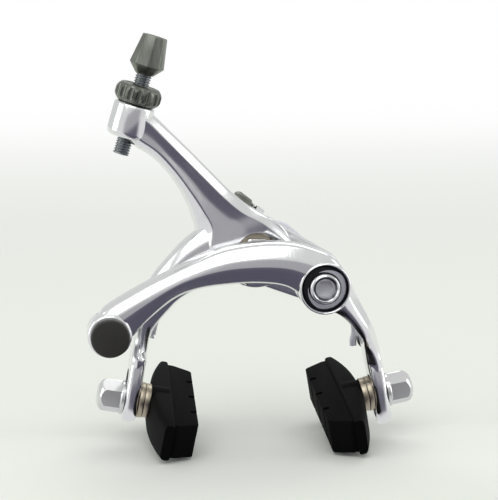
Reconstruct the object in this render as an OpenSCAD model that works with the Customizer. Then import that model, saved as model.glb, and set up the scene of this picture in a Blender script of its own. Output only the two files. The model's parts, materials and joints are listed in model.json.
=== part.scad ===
// Dual pivot side pull caliper brake, sprung fully open.
// X runs to the right seen from the front, Z is up and the front faces -Y.
// The origin is on the centre bolt, at the face that meets the fork.

/* [Pivots] */
// Side pivot, to the right of the centre bolt
side_pivot_x = 19.6; // [18.8:0.2:21]
// Side pivot, below the centre bolt
side_pivot_drop = 9.3; // [8.5:0.2:10.3]
// Radius of the threaded centre bolt
center_bolt_r = 3; // [2.5:0.25:3.25]
// Length of the centre bolt behind the fork face
stud_length = 24; // [16:1:40]
// Radius of the side pivot bolt's shank
side_bolt_r = 3; // [2.5:0.25:3.25]
// Running clearance between a pivot and its bush, on the radius
running_gap = 0.05; // [0.02:0.01:0.08]
// Wall of each bronze pivot bush
bush_wall = 1.3; // [1:0.1:1.6]

/* [Stack from the fork to the front] */
// Washer between the fork and the bridge
mount_washer_t = 3; // [2:0.5:4]
// Radius of that washer
mount_washer_r = 7.5; // [6.5:0.5:8]
// Thickness of the bridge at the centre bolt
bridge_t = 8; // [7.5:0.5:9]
// Bronze washer between the bridge and the rear arm
center_thrust_t = 1; // [0.5:0.1:1.5]
// Thickness of the rear arm at its pivot
rear_arm_t = 9; // [8:0.5:10]
// Free space between the rear arm and the front arm
arm_gap = 3.3; // [3:0.1:4.5]
// Bronze washer between the bridge and the front arm
side_thrust_t = 0.7; // [0.5:0.1:1]
// Thickness of the front arm at its pivot
front_arm_t = 9; // [8:0.5:10]

/* [Bosses] */
// Radius of the bridge around the centre bolt
bridge_center_r = 10.6; // [10:0.2:11]
// Radius of the bridge around the side pivot
bridge_side_r = 8.6; // [8:0.2:9]
// Radius of the rear arm around the centre bolt
rear_boss_r = 11.4; // [10.8:0.2:11.8]
// Radius of the recess round the centre nut
rear_recess_r = 6.4; // [6.2:0.1:7]
// Depth of that recess
rear_recess_depth = 3; // [2:0.2:3.6]
// Radius of the front arm around the side pivot
front_boss_r = 8; // [7.8:0.1:9]
// Radius of the recess round the side pivot bolt
front_recess_r = 7.3; // [7:0.1:7.6]
// Depth of that recess
front_recess_depth = 3.2; // [2.6:0.2:4]

/* [Cable anchor] */
// How much further out than the pad bolt the cable anchor stands, in mm
anchor_reach = 7; // [6:0.2:9]
// Cable anchor, below the centre bolt
anchor_drop = 22.6; // [21:0.2:24]
// Radius of the front arm's end round the anchor
anchor_eye_r = 6.8; // [6.4:0.1:7.4]
// Radius of the anchor bolt
anchor_bolt_r = 2.9; // [2.5:0.1:3]
// Radius of the black anchor cap
anchor_cap_r = 5.9; // [5:0.1:6.2]
// Thickness of the black anchor cap
anchor_cap_t = 3.4; // [2.5:0.1:4]
// Thickness of the cable clamp washer
clamp_washer_t = 1.8; // [1.4:0.1:2.4]
// Radius of the inner cable that it clamps
cable_r = 0.8; // [0.6:0.05:0.9]

/* [Cable adjuster] */
// Middle of the adjuster boss's top, to the left of the centre bolt
adjuster_x = 37.2; // [35:0.2:39]
// Middle of the adjuster boss's top, above the centre bolt
adjuster_rise = 46.5; // [45:0.5:48]
// Lean of the adjuster to the right
adjuster_lean = 17; // [14:0.5:20]
// Radius of the adjuster boss
adjuster_boss_r = 6.4; // [6:0.1:6.8]
// Height of the adjuster boss
adjuster_boss_h = 10.6; // [9:0.2:12]
// Radius of the threaded barrel
barrel_r = 2.5; // [2.3:0.1:2.75]
// Length of barrel that shows below the boss
barrel_tip = 5.2; // [3.5:0.1:6]
// Length of neck between the ring and the cap
barrel_neck = 3.4; // [3:0.1:5]
// Radius of the knurled ring
ring_r = 7.2; // [6.6:0.1:7.6]
// Height of the knurled ring
ring_h = 6; // [5:0.1:6.6]
// Number of finger scallops round the ring
ring_scallops = 16; // [12:1:20]
// Largest radius of the tapered cap
cap_r = 5.6; // [5.2:0.1:6]
// Radius of the cap's top
cap_top_r = 3.9; // [3.6:0.1:4.4]
// Height of the cap's taper
cap_h = 9.2; // [8:0.2:11]
// Radius of the seat for the cable housing
housing_r = 2.6; // [2.5:0.05:2.7]
// Depth of that seat
housing_depth = 8; // [6:0.5:9]

/* [Limbs and pads] */
// Middle of each limb's foot, from the centre bolt
limb_x = 39.4; // [38.6:0.2:40.2]
// Pad bolts, below the centre bolt
pad_drop = 46.1; // [45:0.2:47]
// Splay of each limb's foot
limb_splay = 10.4; // [9:0.2:12]
// Thickness of each limb's foot
foot_t = 4.6; // [4.2:0.1:5]
// Half the width of each limb's foot
foot_r = 5.7; // [5.4:0.1:6.2]
// Travel of the pad bolts in their slots
slot_travel = 8; // [7:0.5:9]
// How far the left pad bolt sits above the end of its travel
left_slot_down = 1.8; // [1:0.2:4]
// How far the right pad bolt sits above the end of its travel
right_slot_down = 4.9; // [3:0.2:6]
// Radius of the pad bolts
pad_bolt_r = 2.9; // [2.4:0.1:3]
// Clearance of the pad bolt in its slot
slot_gap = 0.2; // [0.15:0.05:0.4]
// Thickness of the dished washer against the limb
hollow_washer_t = 1.6; // [1.4:0.1:2]
// Thickness of the domed washer against the pad holder
domed_washer_t = 1.9; // [1.6:0.1:2.4]
// Radius of both washers
seat_washer_r = 5.6; // [5:0.1:5.8]
// Pitch of the pads about their bolts, front ends down
pad_pitch = 9; // [0:0.5:10]
// How far the pads hang below their bolts
pad_hang = 2; // [0:0.2:2.4]
// Length of a pad holder
holder_l = 52; // [48:0.5:54]
// Height of a pad holder
holder_h = 13; // [12:0.2:14]
// Thickness of a pad holder at its bolt
holder_t = 6.6; // [6:0.1:7.5]
// Thickness of a pad holder at its ends
holder_end_t = 3; // [2.5:0.1:4]
// Thickness of the rubber that stands out of the holder
pad_t = 7.4; // [6:0.1:8.5]
// Height of the rubber
pad_h = 11; // [10:0.2:11.6]

/* [Spring and centring screw] */
// Radius of the spring wire
wire_r = 1.1; // [0.9:0.05:1.25]
// Height of the spring's middle above the centre bolt
wire_rise = 6.8; // [6.2:0.1:7.2]
// Radius of the centring screw
centring_r = 2.3; // [2:0.1:2.5]
// Radius of the black spring sliders
slider_r = 2.3; // [2:0.1:2.6]

/* [Hidden] */
$fn = 64;
eps = 0.01;

// Depths of the stack, front faces being the more negative
bridge_back = -mount_washer_t;
bridge_front = bridge_back - bridge_t;
rear_back = bridge_front - center_thrust_t;
rear_front = rear_back - rear_arm_t;
front_back = rear_front - arm_gap;
front_front = front_back - front_arm_t;
side_boss_front = front_back + side_thrust_t;
side_boss_back = bridge_front + 3;
pad_y = (rear_back + rear_front) / 2;
rear_recess_floor = rear_front + rear_recess_depth;
front_recess_floor = front_front + front_recess_depth;
link_back = bridge_back - 3.8;
// The bolt's pivot shank is thicker than its threaded ends
shank_r = center_bolt_r + 0.5;
// How far a cutter runs past what it cuts
past = 1;
// Slip of a screw or a bolt in its hole
slip = 0.1;

// Places in the front view, as [x, z]
center = [0, 0];
pivot = [side_pivot_x, -side_pivot_drop];
anchor = [-limb_x - anchor_reach, -anchor_drop];
foot = [limb_x, -pad_drop];
foot_down = [sin(limb_splay), -cos(limb_splay)];
foot_out = [cos(limb_splay), sin(limb_splay)];
adjuster = [-adjuster_x, adjuster_rise];
adjuster_up = [sin(adjuster_lean), cos(adjuster_lean)];
adjuster_across = [cos(adjuster_lean), -sin(adjuster_lean)];
adjuster_y = rear_back - adjuster_boss_r;

// A smooth curve through the rows of p, n steps to a span
function blend4(a, b, c, d, t) =
    0.5 * (2 * b + (c - a) * t + (2 * a - 5 * b + 4 * c - d) * t * t + (3 * b - a - 3 * c + d) * t * t * t);
function smooth(p, n) = [
    for (i = [0:len(p) - 2], k = [0:n - 1])
        blend4(p[max(i - 1, 0)], p[i], p[i + 1], p[min(i + 2, len(p) - 1)], k / n),
    p[len(p) - 1]
];

// Rounds corner p between its neighbours a and b
function corner(a, p, b, r, k) =
    let (from = p + (a - p) * min(r / norm(a - p), 0.45), to = p + (b - p) * min(r / norm(b - p), 0.45))
    [for (i = [0:k]) let (t = i / k) from * (1 - t) * (1 - t) + 2 * p * t * (1 - t) + to * t * t];
function rounded(c, radii, k) = [
    for (i = [0:len(c) - 1]) each corner(c[(i + len(c) - 1) % len(c)], c[i], c[(i + 1) % len(c)], radii[i], k)
];
function deep(p, y) = [p.x, y, p.y];

// Skin over a row of rings that have the same number of points
module loft(rings) {
    n = len(rings[0]);
    last = (len(rings) - 1) * n;
    sides = [
        for (j = [0:len(rings) - 2], i = [0:n - 1])
            let (a = j * n + i, b = j * n + (i + 1) % n)
            each [[a, a + n, b + n], [a, b + n, b]]
    ];
    polyhedron(
        points = [for (ring = rings) each ring],
        faces = concat([[for (i = [0:n - 1]) i]], sides, [[for (i = [n - 1:-1:0]) last + i]]));
}

// Puts its children at a place in the front view
module at(p, y = 0) translate([p.x, y, p.y]) children();
// Round bar along the depth
module post(r, back, front) translate([0, back, 0]) rotate([90, 0, 0]) cylinder(r = r, h = back - front);
// Round bar along the depth with bevelled rims
module puck(r, back, front, bevel) {
    h = back - front;
    translate([0, back, 0]) rotate([90, 0, 0]) rotate_extrude()
        polygon([[0, 0], [r - bevel, 0], [r, bevel], [r, h - bevel], [r - bevel, h], [0, h]]);
}
// Flat ring along the depth
module washer(r, bore, back, front, bevel) difference() {
    puck(r, back, front, bevel);
    post(bore, back + 1, front - 1);
}
// Hexagon bar along the depth, size across its flats
module hex(flats, back, front) translate([0, back, 0]) rotate([90, 0, 0])
    cylinder(r = flats / 2 / cos(30), h = back - front, $fn = 6);

// Travel left below and above the pad bolt on either side
function slot_down(side) = side > 0 ? right_slot_down : left_slot_down;
function slot_up(side) = slot_travel - slot_down(side);
// Frame of a limb's foot: X outward, Z up the limb, origin on the pad bolt
module at_foot(side) {
    if (side > 0) at(foot, pad_y) rotate([0, -limb_splay, 0]) children();
    else mirror([1, 0, 0]) at(foot, pad_y) rotate([0, -limb_splay, 0]) children();
}
// Frame of the adjuster: Z along the barrel, origin on the boss's top
module at_adjuster() at(adjuster, adjuster_y) rotate([0, adjuster_lean, 0]) children();

// Places on a foot: s down the limb, o outward
function on_foot(s, o) = foot + s * foot_down + o * foot_out;
function mirrored(p) = [-p.x, p.y];

// Ring of a limb: flat back, and a front that falls away from a ridge, over a shoulder towards the top
// row: top, bottom, front, back, ridge place, fall at the top, fall at the bottom
function roof_row(top, bottom, front, back, ridge, fall_top, fall_bottom) =
    [top.x, top.y, bottom.x, bottom.y, front, back, ridge, fall_top, fall_bottom];
function roof_ring(v) =
    let (top = [v[0], v[1]], bottom = [v[2], v[3]], crest = bottom + v[6] * (top - bottom),
         shoulder = crest + 0.45 * (top - crest))
    rounded([deep(bottom, v[5]), deep(top, v[5]), deep(top, v[4] + v[7]), deep(shoulder, v[4] + 0.22 * v[7]),
             deep(crest, v[4]), deep(bottom, v[4] + v[8])], [1.4, 1.4, 1.6, 0.8, 1.2, 1.8], 3);

// Ring of the rear arm: bevelled rails on both sides of a dished face
// row: right edge, left edge, front, back, depth of the dish, right bevel, left bevel
function dish_row(right, left, front, back, dish, bevel_right, bevel_left) =
    [right.x, right.y, left.x, left.y, front, back, dish, bevel_right, bevel_left];
function dish_ring(v) =
    let (right = [v[0], v[1]], left = [v[2], v[3]], w = norm(right - left), across = (right - left) / w,
         r = min(v[7], 0.34 * w), l = min(v[8], 0.34 * w))
    rounded([deep(left, v[5]), deep(right, v[5]), deep(right, v[4] + v[7]),
             deep(right - r * across, v[4]), deep((right - r * across + left + l * across) / 2, v[4] + v[6]),
             deep(left + l * across, v[4]), deep(left, v[4] + v[8])], [1.4, 1.4, 1.2, 0.6, 4, 0.8, 1.6], 3);

// Row of an arm where it runs into its foot, grown by so much all round
foot_y_front = pad_y - foot_r;
foot_y_back = pad_y + foot_r;
limb_deep = front_back + 3;
function foot_top(side) = -slot_up(side) - foot_r + 0.4;
function foot_row(side, past, grow) =
    let (s = foot_top(side) + past, outer = on_foot(s, foot_t / 2 + grow), inner = on_foot(s, -foot_t / 2 - grow))
    roof_row(side < 0 ? mirrored(outer) : outer, side < 0 ? mirrored(inner) : inner,
             foot_y_front - grow, foot_y_back + grow, 0.5, 0.3, 0.3);

front_arm_rows = [
    roof_row(anchor + [-3.6, 5.2], anchor + [3.2, -5.4], front_front + 0.6, front_back, 0.5, 2.4, 2.4),
    roof_row(anchor + [-0.6, 8.6], anchor + [6.8, -1.4], front_front + 0.3, front_back, 0.48, 3, 3),
    roof_row(anchor + [9.6, 14.6], anchor + [12.4, 4.4], front_front, front_back, 0.46, 3.2, 3.6),
    roof_row([-27.6, -3.4], [-26.4, -12.3], front_front, front_back, 0.44, 3.2, 4),
    roof_row([-20, 0], [-19.4, -9.6], front_front, front_back, 0.43, 3.2, 4.2),
    roof_row([-10.6, 3.3], [-11, -8.4], front_front, front_back, 0.42, 3.2, 4.4),
    roof_row([0, 4.8], [-1, -8], front_front, front_back, 0.4, 3.2, 4.4),
    roof_row(pivot + [-10.4, 13.9], pivot + [-12.4, 0.4], front_front, front_back, 0.4, 3, 4),
    roof_row(pivot + [-3.6, 12.2], pivot + [-7.4, -2.2], front_front, front_back, 0.42, 2.4, 3),
    roof_row(pivot + [2.8, 9.2], pivot + [-2.6, -5.6], front_front, front_back, 0.46, 2, 2.4),
    roof_row(pivot + [7.6, 3.2], pivot + [1.6, -7.4], front_front + 0.4, limb_deep, 0.5, 1.8, 2),
    roof_row(pivot + [11.6, -4.6], pivot + [6.6, -10.4], front_front + 2.4, foot_y_back - 1.6, 0.5, 1.6, 1.8),
    roof_row(on_foot(-23.4, 0.9), on_foot(-20.6, -3.6), front_front + 5.6, foot_y_back - 0.6, 0.5, 1.2, 1.2),
    roof_row(on_foot(-15.6, 2.1), on_foot(-15, -2.6), foot_y_front - 1.6, foot_y_back - 0.2, 0.5, 0.6, 0.6),
    foot_row(1, -1, 0.15),
    foot_row(1, 3, -0.2)
];

boss_front = adjuster_y - adjuster_boss_r;
// Running gap of the adjuster barrel in its boss, on the radius
barrel_gap = 0.08;
blade_back = rear_back - 0.12;
limb_back = rear_back - 0.24;
rear_face = rear_front + 0.5;
upper_rows = [
    dish_row(adjuster + 4.2 * adjuster_across - 1.5 * adjuster_up,
             adjuster - 4.4 * adjuster_across - 9.4 * adjuster_up, boss_front + 1, blade_back, 0.3, 2.2, 2.6),
    dish_row(adjuster + [5.5, -3.4], adjuster + [-0.6, -12.6], boss_front + 1.6, blade_back, 0.4, 2.4, 2.6),
    dish_row(adjuster + [11.7, -9.5], adjuster + [4.7, -16.1], boss_front + 2.2, blade_back, 0.6, 2.6, 2.4),
    dish_row([-19.5, 31], [-27, 24.6], rear_face - 1, blade_back, 0.8, 2.8, 2.2),
    dish_row([-13.5, 24.8], [-22.7, 17.6], rear_face - 0.4, blade_back, 1, 2.8, 2.2),
    dish_row([-8, 19.2], [-20.2, 11.8], rear_face, blade_back, 1.2, 2.8, 2.2),
    dish_row([-2.2, 14.4], [-18.6, 5.5], rear_face, blade_back, 1.2, 2.8, 2.2),
    dish_row([4.2, 10.4], [-9.8, -2.4], rear_front, blade_back, 0.8, 2.2, 2),
    dish_row([10.6, 4.2], [-3.4, -10.4], rear_front + 0.1, blade_back, 0.2, 1.6, 1.4)
];
lower_rows = [
    foot_row(-1, 3, -0.2),
    foot_row(-1, -1, 0.15),
    roof_row(mirrored(on_foot(-18.6, 2.4)), mirrored(on_foot(-16, -2.4)), rear_face, limb_back, 0.5, 1, 1),
    roof_row(mirrored(on_foot(-28.6, 3.4)), mirrored(on_foot(-22.6, -3)), rear_face, limb_back, 0.6, 1.8, 1.6),
    roof_row([-33, -8.4], [-27.4, -18.2], rear_face, limb_back, 0.6, 2.4, 2),
    roof_row([-27.6, -1.8], [-23, -14], rear_face, limb_back, 0.6, 2.6, 2),
    roof_row([-21.2, 4.6], [-16, -10.6], rear_face, limb_back, 0.6, 2.6, 2),
    roof_row([-13.6, 9], [-8, -9], rear_face, limb_back, 0.55, 2.4, 1.6),
    roof_row([-2, 8.6], [0, -8.8], rear_face, limb_back, 0.5, 1, 1)
];

// Flat foot with a round end, which carries the pad
module foot_plate(side) at_foot(side) translate([-foot_t / 2, 0, 0]) rotate([0, 90, 0]) linear_extrude(foot_t)
    polygon([[foot_top(side), foot_r], [foot_top(side), -foot_r],
             for (a = [-90:7.5:90]) [slot_down(side) + foot_r * cos(a), foot_r * sin(a)]]);
// Slot for the pad bolt, right through a foot
module foot_slot(side) at_foot(side) {
    r = pad_bolt_r + slot_gap;
    for (z = [slot_up(side), -slot_down(side)])
        translate([-foot_t, 0, z]) rotate([0, 90, 0]) cylinder(r = r, h = 2 * foot_t);
    translate([-foot_t, -r, -slot_down(side)]) cube([2 * foot_t, 2 * r, slot_travel]);
}

// Spring pegs, as [x, z] in the front view
peg_r = 1.2;
left_peg = mirrored(on_foot(-19.6, -0.6));
right_peg = on_foot(-14.5, -0.2);
wire_y = bridge_back - wire_r - 1.2;
peg_tip = wire_y + wire_r + 0.6;
side_touch = slider_r + wire_r + 0.3;

module rear_arm() color("gainsboro") difference() {
    union() {
        loft([for (v = smooth(upper_rows, 3)) dish_ring(v)]);
        loft([for (v = smooth(lower_rows, 3)) roof_ring(v)]);
        puck(rear_boss_r, rear_back, rear_front + 0.4, 0.8);
        at_adjuster() rotate_extrude()
            polygon([[0, -adjuster_boss_h], [adjuster_boss_r - 1.2, -adjuster_boss_h], [adjuster_boss_r - 0.3, 0.9 - adjuster_boss_h],
                     [adjuster_boss_r, 2 - adjuster_boss_h], [adjuster_boss_r, -0.8], [adjuster_boss_r - 0.5, 0], [0, 0]]);
        foot_plate(-1);
        at(left_peg) post(peg_r, peg_tip, rear_back - 1);
    }
    post(rear_recess_r, rear_recess_floor, rear_front - 6);
    post(shank_r + bush_wall, rear_back + 1, rear_front);
    at_adjuster() translate([0, 0, -2 * adjuster_boss_h]) cylinder(r = barrel_r + barrel_gap, h = 3 * adjuster_boss_h);
    at_adjuster() cylinder(r = 3 * adjuster_boss_r, h = adjuster_boss_h);
    at_adjuster() translate([0, 0, -adjuster_boss_h - 3]) cylinder(r = adjuster_boss_r, h = 3);
    foot_slot(-1);
}

module front_arm() color("gainsboro") difference() {
    union() {
        loft([for (v = smooth(front_arm_rows, 3)) roof_ring(v)]);
        at(pivot) puck(front_boss_r, front_back, front_front, 0.6);
        at(anchor) puck(anchor_eye_r, front_back, front_front + 0.2, 1);
        foot_plate(1);
        at(right_peg) post(peg_r, peg_tip, pad_y);
    }
    at(pivot) post(front_recess_r, front_recess_floor, front_front - 6);
    at(pivot) post(side_bolt_r + bush_wall, front_back + 8, front_front);
    at(pivot) post(bridge_side_r + 0.5, 0, front_back);
    at(anchor) post(anchor_bolt_r + 0.1, front_back + 1, front_front - 1);
    foot_slot(1);
}

module bridge() color("silver") difference() {
    union() {
        hull() {
            puck(bridge_center_r, link_back, bridge_front, 0.8, $fn = 32);
            at(pivot) puck(bridge_side_r, link_back, bridge_front, 0.8, $fn = 32);
        }
        puck(bridge_center_r - 1.4, bridge_back, bridge_front + 1, 0.6);
        at(pivot) puck(bridge_side_r - 0.4, link_back - 0.4, side_boss_front, 0.6);
        at_centring() translate([0, 0, -centring_r / 2]) cylinder(r = centring_r + 0.6, h = 1.2 * centring_r);
    }
    post(shank_r + running_gap, 1, bridge_front - 1);
    at(pivot) post(side_bolt_r + running_gap, 1, side_boss_front - 1);
    centring_hole();
    spring_groove();
}
// Groove in the bridge's rear face that traps the middle of the spring
module spring_groove() translate([-2 * bridge_center_r, wire_y - wire_r - slip, wire_rise - wire_r - slip])
    cube([4 * bridge_center_r, bridge_center_r, 2 * (wire_r + slip)]);

module center_bolt() color("lightsteelblue") difference() {
    union() {
        post(center_bolt_r, stud_length, center_tip);
        post(shank_r, 0, rear_recess_floor);
    }
    post(stud_socket_r, stud_length + past, stud_length - stud_socket_depth);
}
stud_socket_r = 1.4;
stud_socket_depth = 4;
center_nut_flats = 9;
nut_1_t = 2.4;
nut_2_t = 1.6;
front_washer_t = 0.9;
center_tip = rear_recess_floor - front_washer_t - nut_1_t - nut_2_t - 0.3;

module mounting_washer() color("dimgray") washer(mount_washer_r, shank_r + slip, 0, bridge_back, 0.4);
module center_thrust_washer() color("darkgoldenrod")
    washer(bridge_center_r - 2.6, shank_r + slip, bridge_front, rear_back, 0.1);
module rear_arm_bush() color("peru")
    washer(shank_r + bush_wall, shank_r + running_gap, rear_back, rear_recess_floor, 0.1);
module center_front_washer() color("goldenrod")
    washer(rear_recess_r - 0.4, center_bolt_r + slip, rear_recess_floor, rear_recess_floor - front_washer_t, 0.15);
module center_nut() color("silver") difference() {
    hex(center_nut_flats, rear_recess_floor - front_washer_t, rear_recess_floor - front_washer_t - nut_1_t);
    post(center_bolt_r + 0.02, 0, center_tip - past);
}
module center_lock_nut() color("silver") difference() {
    hex(center_nut_flats - 1, center_tip + 0.3 + nut_2_t, center_tip + 0.3);
    post(center_bolt_r + 0.02, 0, center_tip - past);
}

side_washer_t = 1.1;
head_h = 2.4;
head_r = 5.1;
socket_flats = 5;
side_washer_front = front_recess_floor - side_washer_t;
module side_pivot_bolt() color("whitesmoke") at(pivot) difference() {
    union() {
        post(side_bolt_r, side_boss_back + 1, side_washer_front - 0.5);
        translate([0, side_washer_front, 0]) rotate([90, 0, 0]) rotate_extrude()
            polygon([[0, 0], [head_r, 0], [head_r, 0.9], [head_r - 0.4, 1.7], [head_r - 1.1, head_h], [0, head_h]]);
    }
    translate([0, side_washer_front - head_h + 0.9, 0]) rotate([90, 0, 0]) cylinder(r1 = 3, r2 = 4.2, h = 1.1);
    hex(socket_flats, side_washer_front + 0.4, side_washer_front - 4);
}
module side_pivot_washer() color("lightslategray") at(pivot)
    washer(front_recess_r - 0.6, side_bolt_r + 0.1, front_recess_floor, side_washer_front, 0.25);
module side_thrust_washer() color("darkgoldenrod") at(pivot)
    washer(bridge_side_r - 0.8, side_bolt_r + 0.1, side_boss_front, front_back, 0.1);
module front_arm_bush() color("peru") at(pivot)
    washer(side_bolt_r + bush_wall, side_bolt_r + running_gap, front_back, front_recess_floor, 0.1);

// Centring screw, let into the bridge from the upper left
centring_tip = [1.3, wire_rise + wire_r + 2];
centring_lean = 38;
centring_y = wire_y - 1.6;
centring_l = 9.6;
module at_centring() at(centring_tip, centring_y) rotate([0, -90 + centring_lean, 0]) children();
module centring_hole() at_centring() translate([0, 0, -0.4]) cylinder(r = centring_r + 0.05, h = 3 * centring_l);
module centring_screw() color("darkslategray") at_centring() difference() {
    rotate_extrude() polygon([[0, 0], [1.2, 0], [1.2, 1.4], [centring_r, 2.2], [centring_r, centring_l - 0.8],
                              [centring_r - 0.8, centring_l], [0, centring_l]]);
    translate([0, 0, centring_l - 2]) cylinder(r = 1.3, h = 3, $fn = 6);
}

// Return spring, a bent wire whose middle lies in the bridge's groove
spring_rows = [
    left_peg + [side_touch, -4], left_peg + [side_touch, 0], [-27.6, -13.6], [-20.4, -3.4], [-13, 4], [-8, wire_rise],
    [0, wire_rise], [8, wire_rise], [14, 3], [20, -3], [25.5, -11], right_peg + [-side_touch, 6],
    right_peg + [-side_touch, 0], right_peg + [-side_touch + 0.4, -4]
];
wire_sides = 10;
function wire_ring(p, q) = let (d = (q - p) / norm(q - p), n = [-d.y, d.x])
    [for (i = [0:wire_sides - 1]) let (a = 360 * i / wire_sides)
        [p.x + n.x * wire_r * cos(a), wire_y + wire_r * sin(a), p.y + n.y * wire_r * cos(a)]];
module return_spring() color("slategray") {
    path = smooth(spring_rows, 3);
    n = len(path) - 1;
    loft([for (i = [0:n]) wire_ring(path[i], path[i] + path[min(i + 1, n)] - path[max(i - 1, 0)])]);
}
module slider(peg) color("black") at(peg) washer(slider_r, peg_r + 0.02, peg_tip - 0.2, wire_y - wire_r - 0.5, 0.3);
module left_spring_slider() slider(left_peg);
module right_spring_slider() slider(right_peg);

// Pad hardware in the foot's frame, from the nut inward to the rubber
foot_in = -foot_t / 2;
washer_2_in = foot_in - hollow_washer_t;
washer_1_in = washer_2_in - domed_washer_t;
holder_in = washer_1_in - holder_t;
nut_h = 8.4;
nut_flats = 9;
nut_r = 5.25;
flange_t = 1.3;
flange_r = nut_r + 0.05;
module along_x(from, to) translate([from, 0, 0]) rotate([0, 90, 0]) children();
module pad_nut(side) color("silver") at_foot(side) difference() {
    union() {
        along_x(foot_t / 2, 0) rotate_extrude() polygon([[0, 0], [flange_r, 0], [flange_r, flange_t - 0.3],
            [flange_r - 0.3, flange_t], [0, flange_t]]);
        intersection() {
            along_x(foot_t / 2 + 1, 0) cylinder(r = nut_flats / 2 / cos(30), h = nut_h - 1, $fn = 6);
            along_x(foot_t / 2, 0) rotate_extrude()
                polygon([[0, 0], [nut_r, 0], [nut_r, nut_h - 2.4], [nut_r - 0.85, nut_h - 1], [nut_r - 2.65, nut_h], [0, nut_h]]);
        }
    }
    along_x(foot_t / 2 - 1, 0) cylinder(r = pad_bolt_r + 0.02, h = 4.6);
}
module pad_bolt(side) color("silver") at_foot(side)
    along_x(holder_in + 2, 0) cylinder(r = pad_bolt_r, h = foot_t / 2 + 3.2 - holder_in - 2);
module hollow_washer(side) color("peru") at_foot(side) along_x(washer_2_in, 0) difference() {
    rotate_extrude() polygon([[0, 0], [seat_washer_r, 0], [seat_washer_r, hollow_washer_t], [0, hollow_washer_t]]);
    translate([0, 0, -1]) cylinder(r = pad_bolt_r + 0.1, h = 9);
    translate([0, 0, -eps]) cylinder(r1 = 4.4, r2 = 3.2, h = 0.8);
}
module domed_washer(side) color("tan") at_foot(side) along_x(washer_1_in, 0) difference() {
    union() {
        cylinder(r = seat_washer_r - 0.2, h = domed_washer_t);
        translate([0, 0, domed_washer_t - 0.1]) cylinder(r1 = 4.3, r2 = 3.3, h = 0.7);
    }
    translate([0, 0, -1]) cylinder(r = pad_bolt_r + 0.1, h = 9);
}
function holder_ring(y) =
    let (k = 2 * abs(y) / holder_l, out = holder_in + holder_end_t + (holder_t - holder_end_t) * cos(90 * pow(k, 1.3)),
         h = holder_h / 2 * (1 - 0.12 * pow(k, 4)))
    rounded([[holder_in, y, h], [out, y, h], [out, y, -h], [holder_in, y, -h]], [1, 2.4, 2.4, 1], 3);
module at_pad(side) at_foot(side) rotate([pad_pitch, 0, 0]) translate([0, 0, -pad_hang]) children();
holder_rim = 1.6;
pocket_depth = 1.6;
module pad_holder(side) color("black") difference() {
    at_pad(side) difference() {
        union() {
            loft([for (i = [0:16]) holder_ring(holder_l * (i / 16 - 0.5))]);
            translate([0, 0, pad_hang])
                along_x(holder_in + 1, 0) cylinder(r = seat_washer_r - 0.6, h = washer_1_in - holder_in - 1);
        }
        translate([holder_in - 1, -holder_l / 2 + holder_rim, -pad_h / 2 - 0.02])
            cube([1 + pocket_depth, holder_l - 2 * holder_rim, pad_h + 0.04]);
    }
    at_foot(side) along_x(holder_in, 0) cylinder(r = pad_bolt_r + 0.02, h = 20);
}
pad_groove = 1.6;
pad_groove_depth = 2;
pad_groove_gap = 12;
pad_ramp = 3;
module pad(side) color("dimgray") at_pad(side) difference() {
    l = holder_l - 2 * holder_rim - 0.2;
    face = holder_in - pad_t;
    translate([0, 0, -pad_h / 2]) linear_extrude(pad_h)
        polygon([[holder_in + 1.5, -l / 2], [holder_in + 1.5, l / 2], [holder_in - 1.5, l / 2],
                 [face, l / 2 - pad_ramp], [face, -l / 2 + pad_ramp], [holder_in - 1.5, -l / 2]]);
    for (y = [-pad_groove_gap, 0, pad_groove_gap])
        translate([face - past, y - pad_groove / 2, -pad_h]) cube([past + pad_groove_depth, pad_groove, 2 * pad_h]);
}

module left_pad_nut() pad_nut(-1);
module left_pad_bolt() pad_bolt(-1);
module left_hollow_washer() hollow_washer(-1);
module left_domed_washer() domed_washer(-1);
module left_pad_holder() pad_holder(-1);
module left_pad() pad(-1);
module right_pad_nut() pad_nut(1);
module right_pad_bolt() pad_bolt(1);
module right_hollow_washer() hollow_washer(1);
module right_domed_washer() domed_washer(1);
module right_pad_holder() pad_holder(1);
module right_pad() pad(1);

// Cable anchor at the free end of the front arm
anchor_front = front_front + 0.2;
clamp_back = front_back + clamp_washer_t;
anchor_nut_t = 4;
module cable_anchor_cap() color("black") at(anchor) puck(anchor_cap_r, anchor_front, anchor_front - anchor_cap_t, 0.5);
module cable_anchor_bolt() color("silver") at(anchor) post(anchor_bolt_r, clamp_back + anchor_nut_t + 1, anchor_front);
module cable_clamp_washer() color("silver") at(anchor) difference() {
    puck(anchor_eye_r - 1, clamp_back, front_back, 0.3);
    post(anchor_bolt_r + 0.1, 0, front_front);
    translate([-anchor_bolt_r - 2 * cable_r - 0.5, front_back - 1, -anchor_eye_r])
        cube([2 * cable_r, 1 + cable_r, 2 * anchor_eye_r]);
}
anchor_nut_flats = 8;
module cable_anchor_nut() color("silver") at(anchor) difference() {
    hex(anchor_nut_flats, clamp_back + anchor_nut_t, clamp_back);
    post(anchor_bolt_r + 0.02, 0, front_front);
}

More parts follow.
